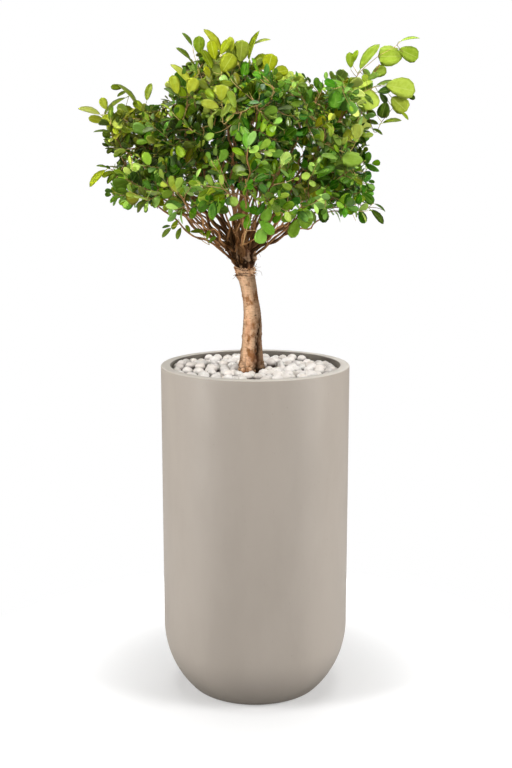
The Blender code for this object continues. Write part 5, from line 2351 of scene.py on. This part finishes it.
@dataclass
class Studio:
    """A pale floor on a white ground, two tall side lights, soft lights above and behind, and the camera."""

    camera_place: tuple[float, float, float] = (0.0017, -2.458, 1.128)
    camera_pitch: float = 10.64
    lens: float = 54.96
    sky: float = 0.09
    lights: tuple[Softbox, ...] = (
        Softbox("left_softbox", (-2.42, -1.2, 1.55), (0.0, 0.0, 0.85), 0.9, 2.6, 74.0),
        Softbox("right_softbox", (2.42, -1.15, 1.55), (0.0, 0.0, 0.85), 0.9, 2.6, 71.0),
        Softbox("crown_softbox", (-0.5, -2.1, 2.9), (0.0, 0.0, 1.46), 0.7, 0.7, 2.4, 28.0),
        Softbox("top_softbox", (0.0, 0.2, 3.4), (0.0, 0.0, 1.0), 2.2, 2.2, 50.0),
        Softbox("back_softbox", (0.9, 3.4, 2.3), (0.0, 0.0, 0.9), 2.0, 2.0, 20.0),
    )
    floor_radius: float = 30.0
    # How far out the floor's shadow starts to fade and is gone, and how white the floor shows at its middle.
    fade: tuple[float, float] = (0.22, 0.75)
    middle_glow: float = 0.22

    def build(self) -> None:
        """Set up the camera, the world, the lights and the floor."""
        scene = bpy.context.scene
        scene.view_settings.view_transform = "Standard"
        data = bpy.data.cameras.new("camera")
        data.lens, data.sensor_width = self.lens, 36.0
        scene.camera = add_to_scene("camera", data)
        scene.camera.location = self.camera_place
        scene.camera.rotation_euler = (radians(90 - self.camera_pitch), 0.0, 0.0)
        scene.world = self._world()
        for light in self.lights:
            light.build()
        self._floor()

    def _world(self) -> bpy.types.World:
        """Make a white ground that lights the plant less than it shows.

        Returns:
            The world.
        """
        world = bpy.data.worlds.new("studio")
        world.use_nodes = True
        nodes = Nodes(world.node_tree)
        strength = nodes.fit(nodes.add("LightPath").outputs["Is Camera Ray"], 0.0, 1.0, self.sky, 1.0)
        back = nodes.add("Background", Color=(1.0, 1.0, 1.0), Strength=strength)
        nodes.feed(nodes.add("OutputWorld").inputs["Surface"], back.outputs[0])
        return world

    def _floor(self) -> None:
        """The pale floor that the planter stands on, which shows white away from the contact shadow."""
        bm = bmesh.new()
        bmesh.ops.create_circle(bm, cap_ends=True, segments=96, radius=self.floor_radius)
        floor = object_from("studio_floor", bm, smooth=False)
        material, nodes = new_material("studio_floor")
        out = nodes.length(nodes.add("TexCoord").outputs["Object"])
        glow = nodes.fit(out, *self.fade, self.middle_glow, 1.0)
        shown = nodes.times(glow, nodes.add("LightPath").outputs["Is Camera Ray"])
        nodes.surface(
            None,
            0.0,
            0.0,
            Base_Color=nodes.mix(nodes.fit(shown, 0.9, 1.0), (0.8, 0.8, 0.8), (0.0, 0.0, 0.0)),
            Roughness=0.9,
            Specular_IOR_Level=0.0,
            Emission_Color=(1.0, 1.0, 1.0),
            Emission_Strength=shown,
        )
        floor.data.materials.append(material)


# ============================================================ the whole
def bark_finishes(effects: Effects) -> tuple[BarkFinish, BarkFinish, BarkFinish]:
    """Choose the barks.

    Args:
        effects: the shared node groups.

    Returns:
        The bark of the trunk, of the boughs and of the twigs.
    """
    tan = ((0.6, 0.385, 0.235), (0.255, 0.112, 0.044), (0.014, 0.005, 0.001), (0.5, 0.22, 0.11))
    brown = ((0.47, 0.24, 0.1), (0.205, 0.082, 0.026), (0.014, 0.004, 0.0), (0.4, 0.2, 0.08))
    twig = ((0.5, 0.28, 0.15), (0.32, 0.15, 0.07), (0.06, 0.026, 0.01), (0.42, 0.34, 0.1))
    return (
        BarkFinish(effects, "tan_bark", *tan, split_amount=0.22, fleck_amount=0.9, relief=0.0012),
        BarkFinish(effects, "brown_bark", *brown, split_amount=0.6, relief=0.0011),
        BarkFinish(effects, "twig_bark", *twig, relief=0.0004),
    )


def main() -> None:
    """Build every part of the plant and the studio round it."""
    logging.basicConfig(level=logging.INFO, format="%(message)s")
    effects = Effects()
    Studio().build()
    planter = Planter(PlanterFinish(effects))
    planter.build()
    PottingSoil(SoilFinish(effects), planter.inner_radius).build()
    tan, brown, twig = bark_finishes(effects)
    trunk = Trunk(tan)
    trunk_piece = trunk.build()
    Collar(trunk, trunk_piece.data.materials[0]).build()
    foot = trunk.centre(0.685)
    PebbleDressing(PebbleFinish(effects), planter.inner_radius, (float(foot[0]), 0.0)).build()
    leaves = {
        LeafKind.MATURE: LeafFinish(effects, "mature_leaf", (0.26, 0.38, 0.06), (0.1, 0.17, 0.02)),
        LeafKind.YOUNG: LeafFinish(effects, "young_leaf", (0.5, 0.56, 0.14), (0.26, 0.32, 0.06), 0.45, 0.2),
    }
    Foliage(Crown(), trunk, brown, twig, leaves, LEADERS, FAN).grow()
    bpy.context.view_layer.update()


if __name__ == "__main__":
    main()
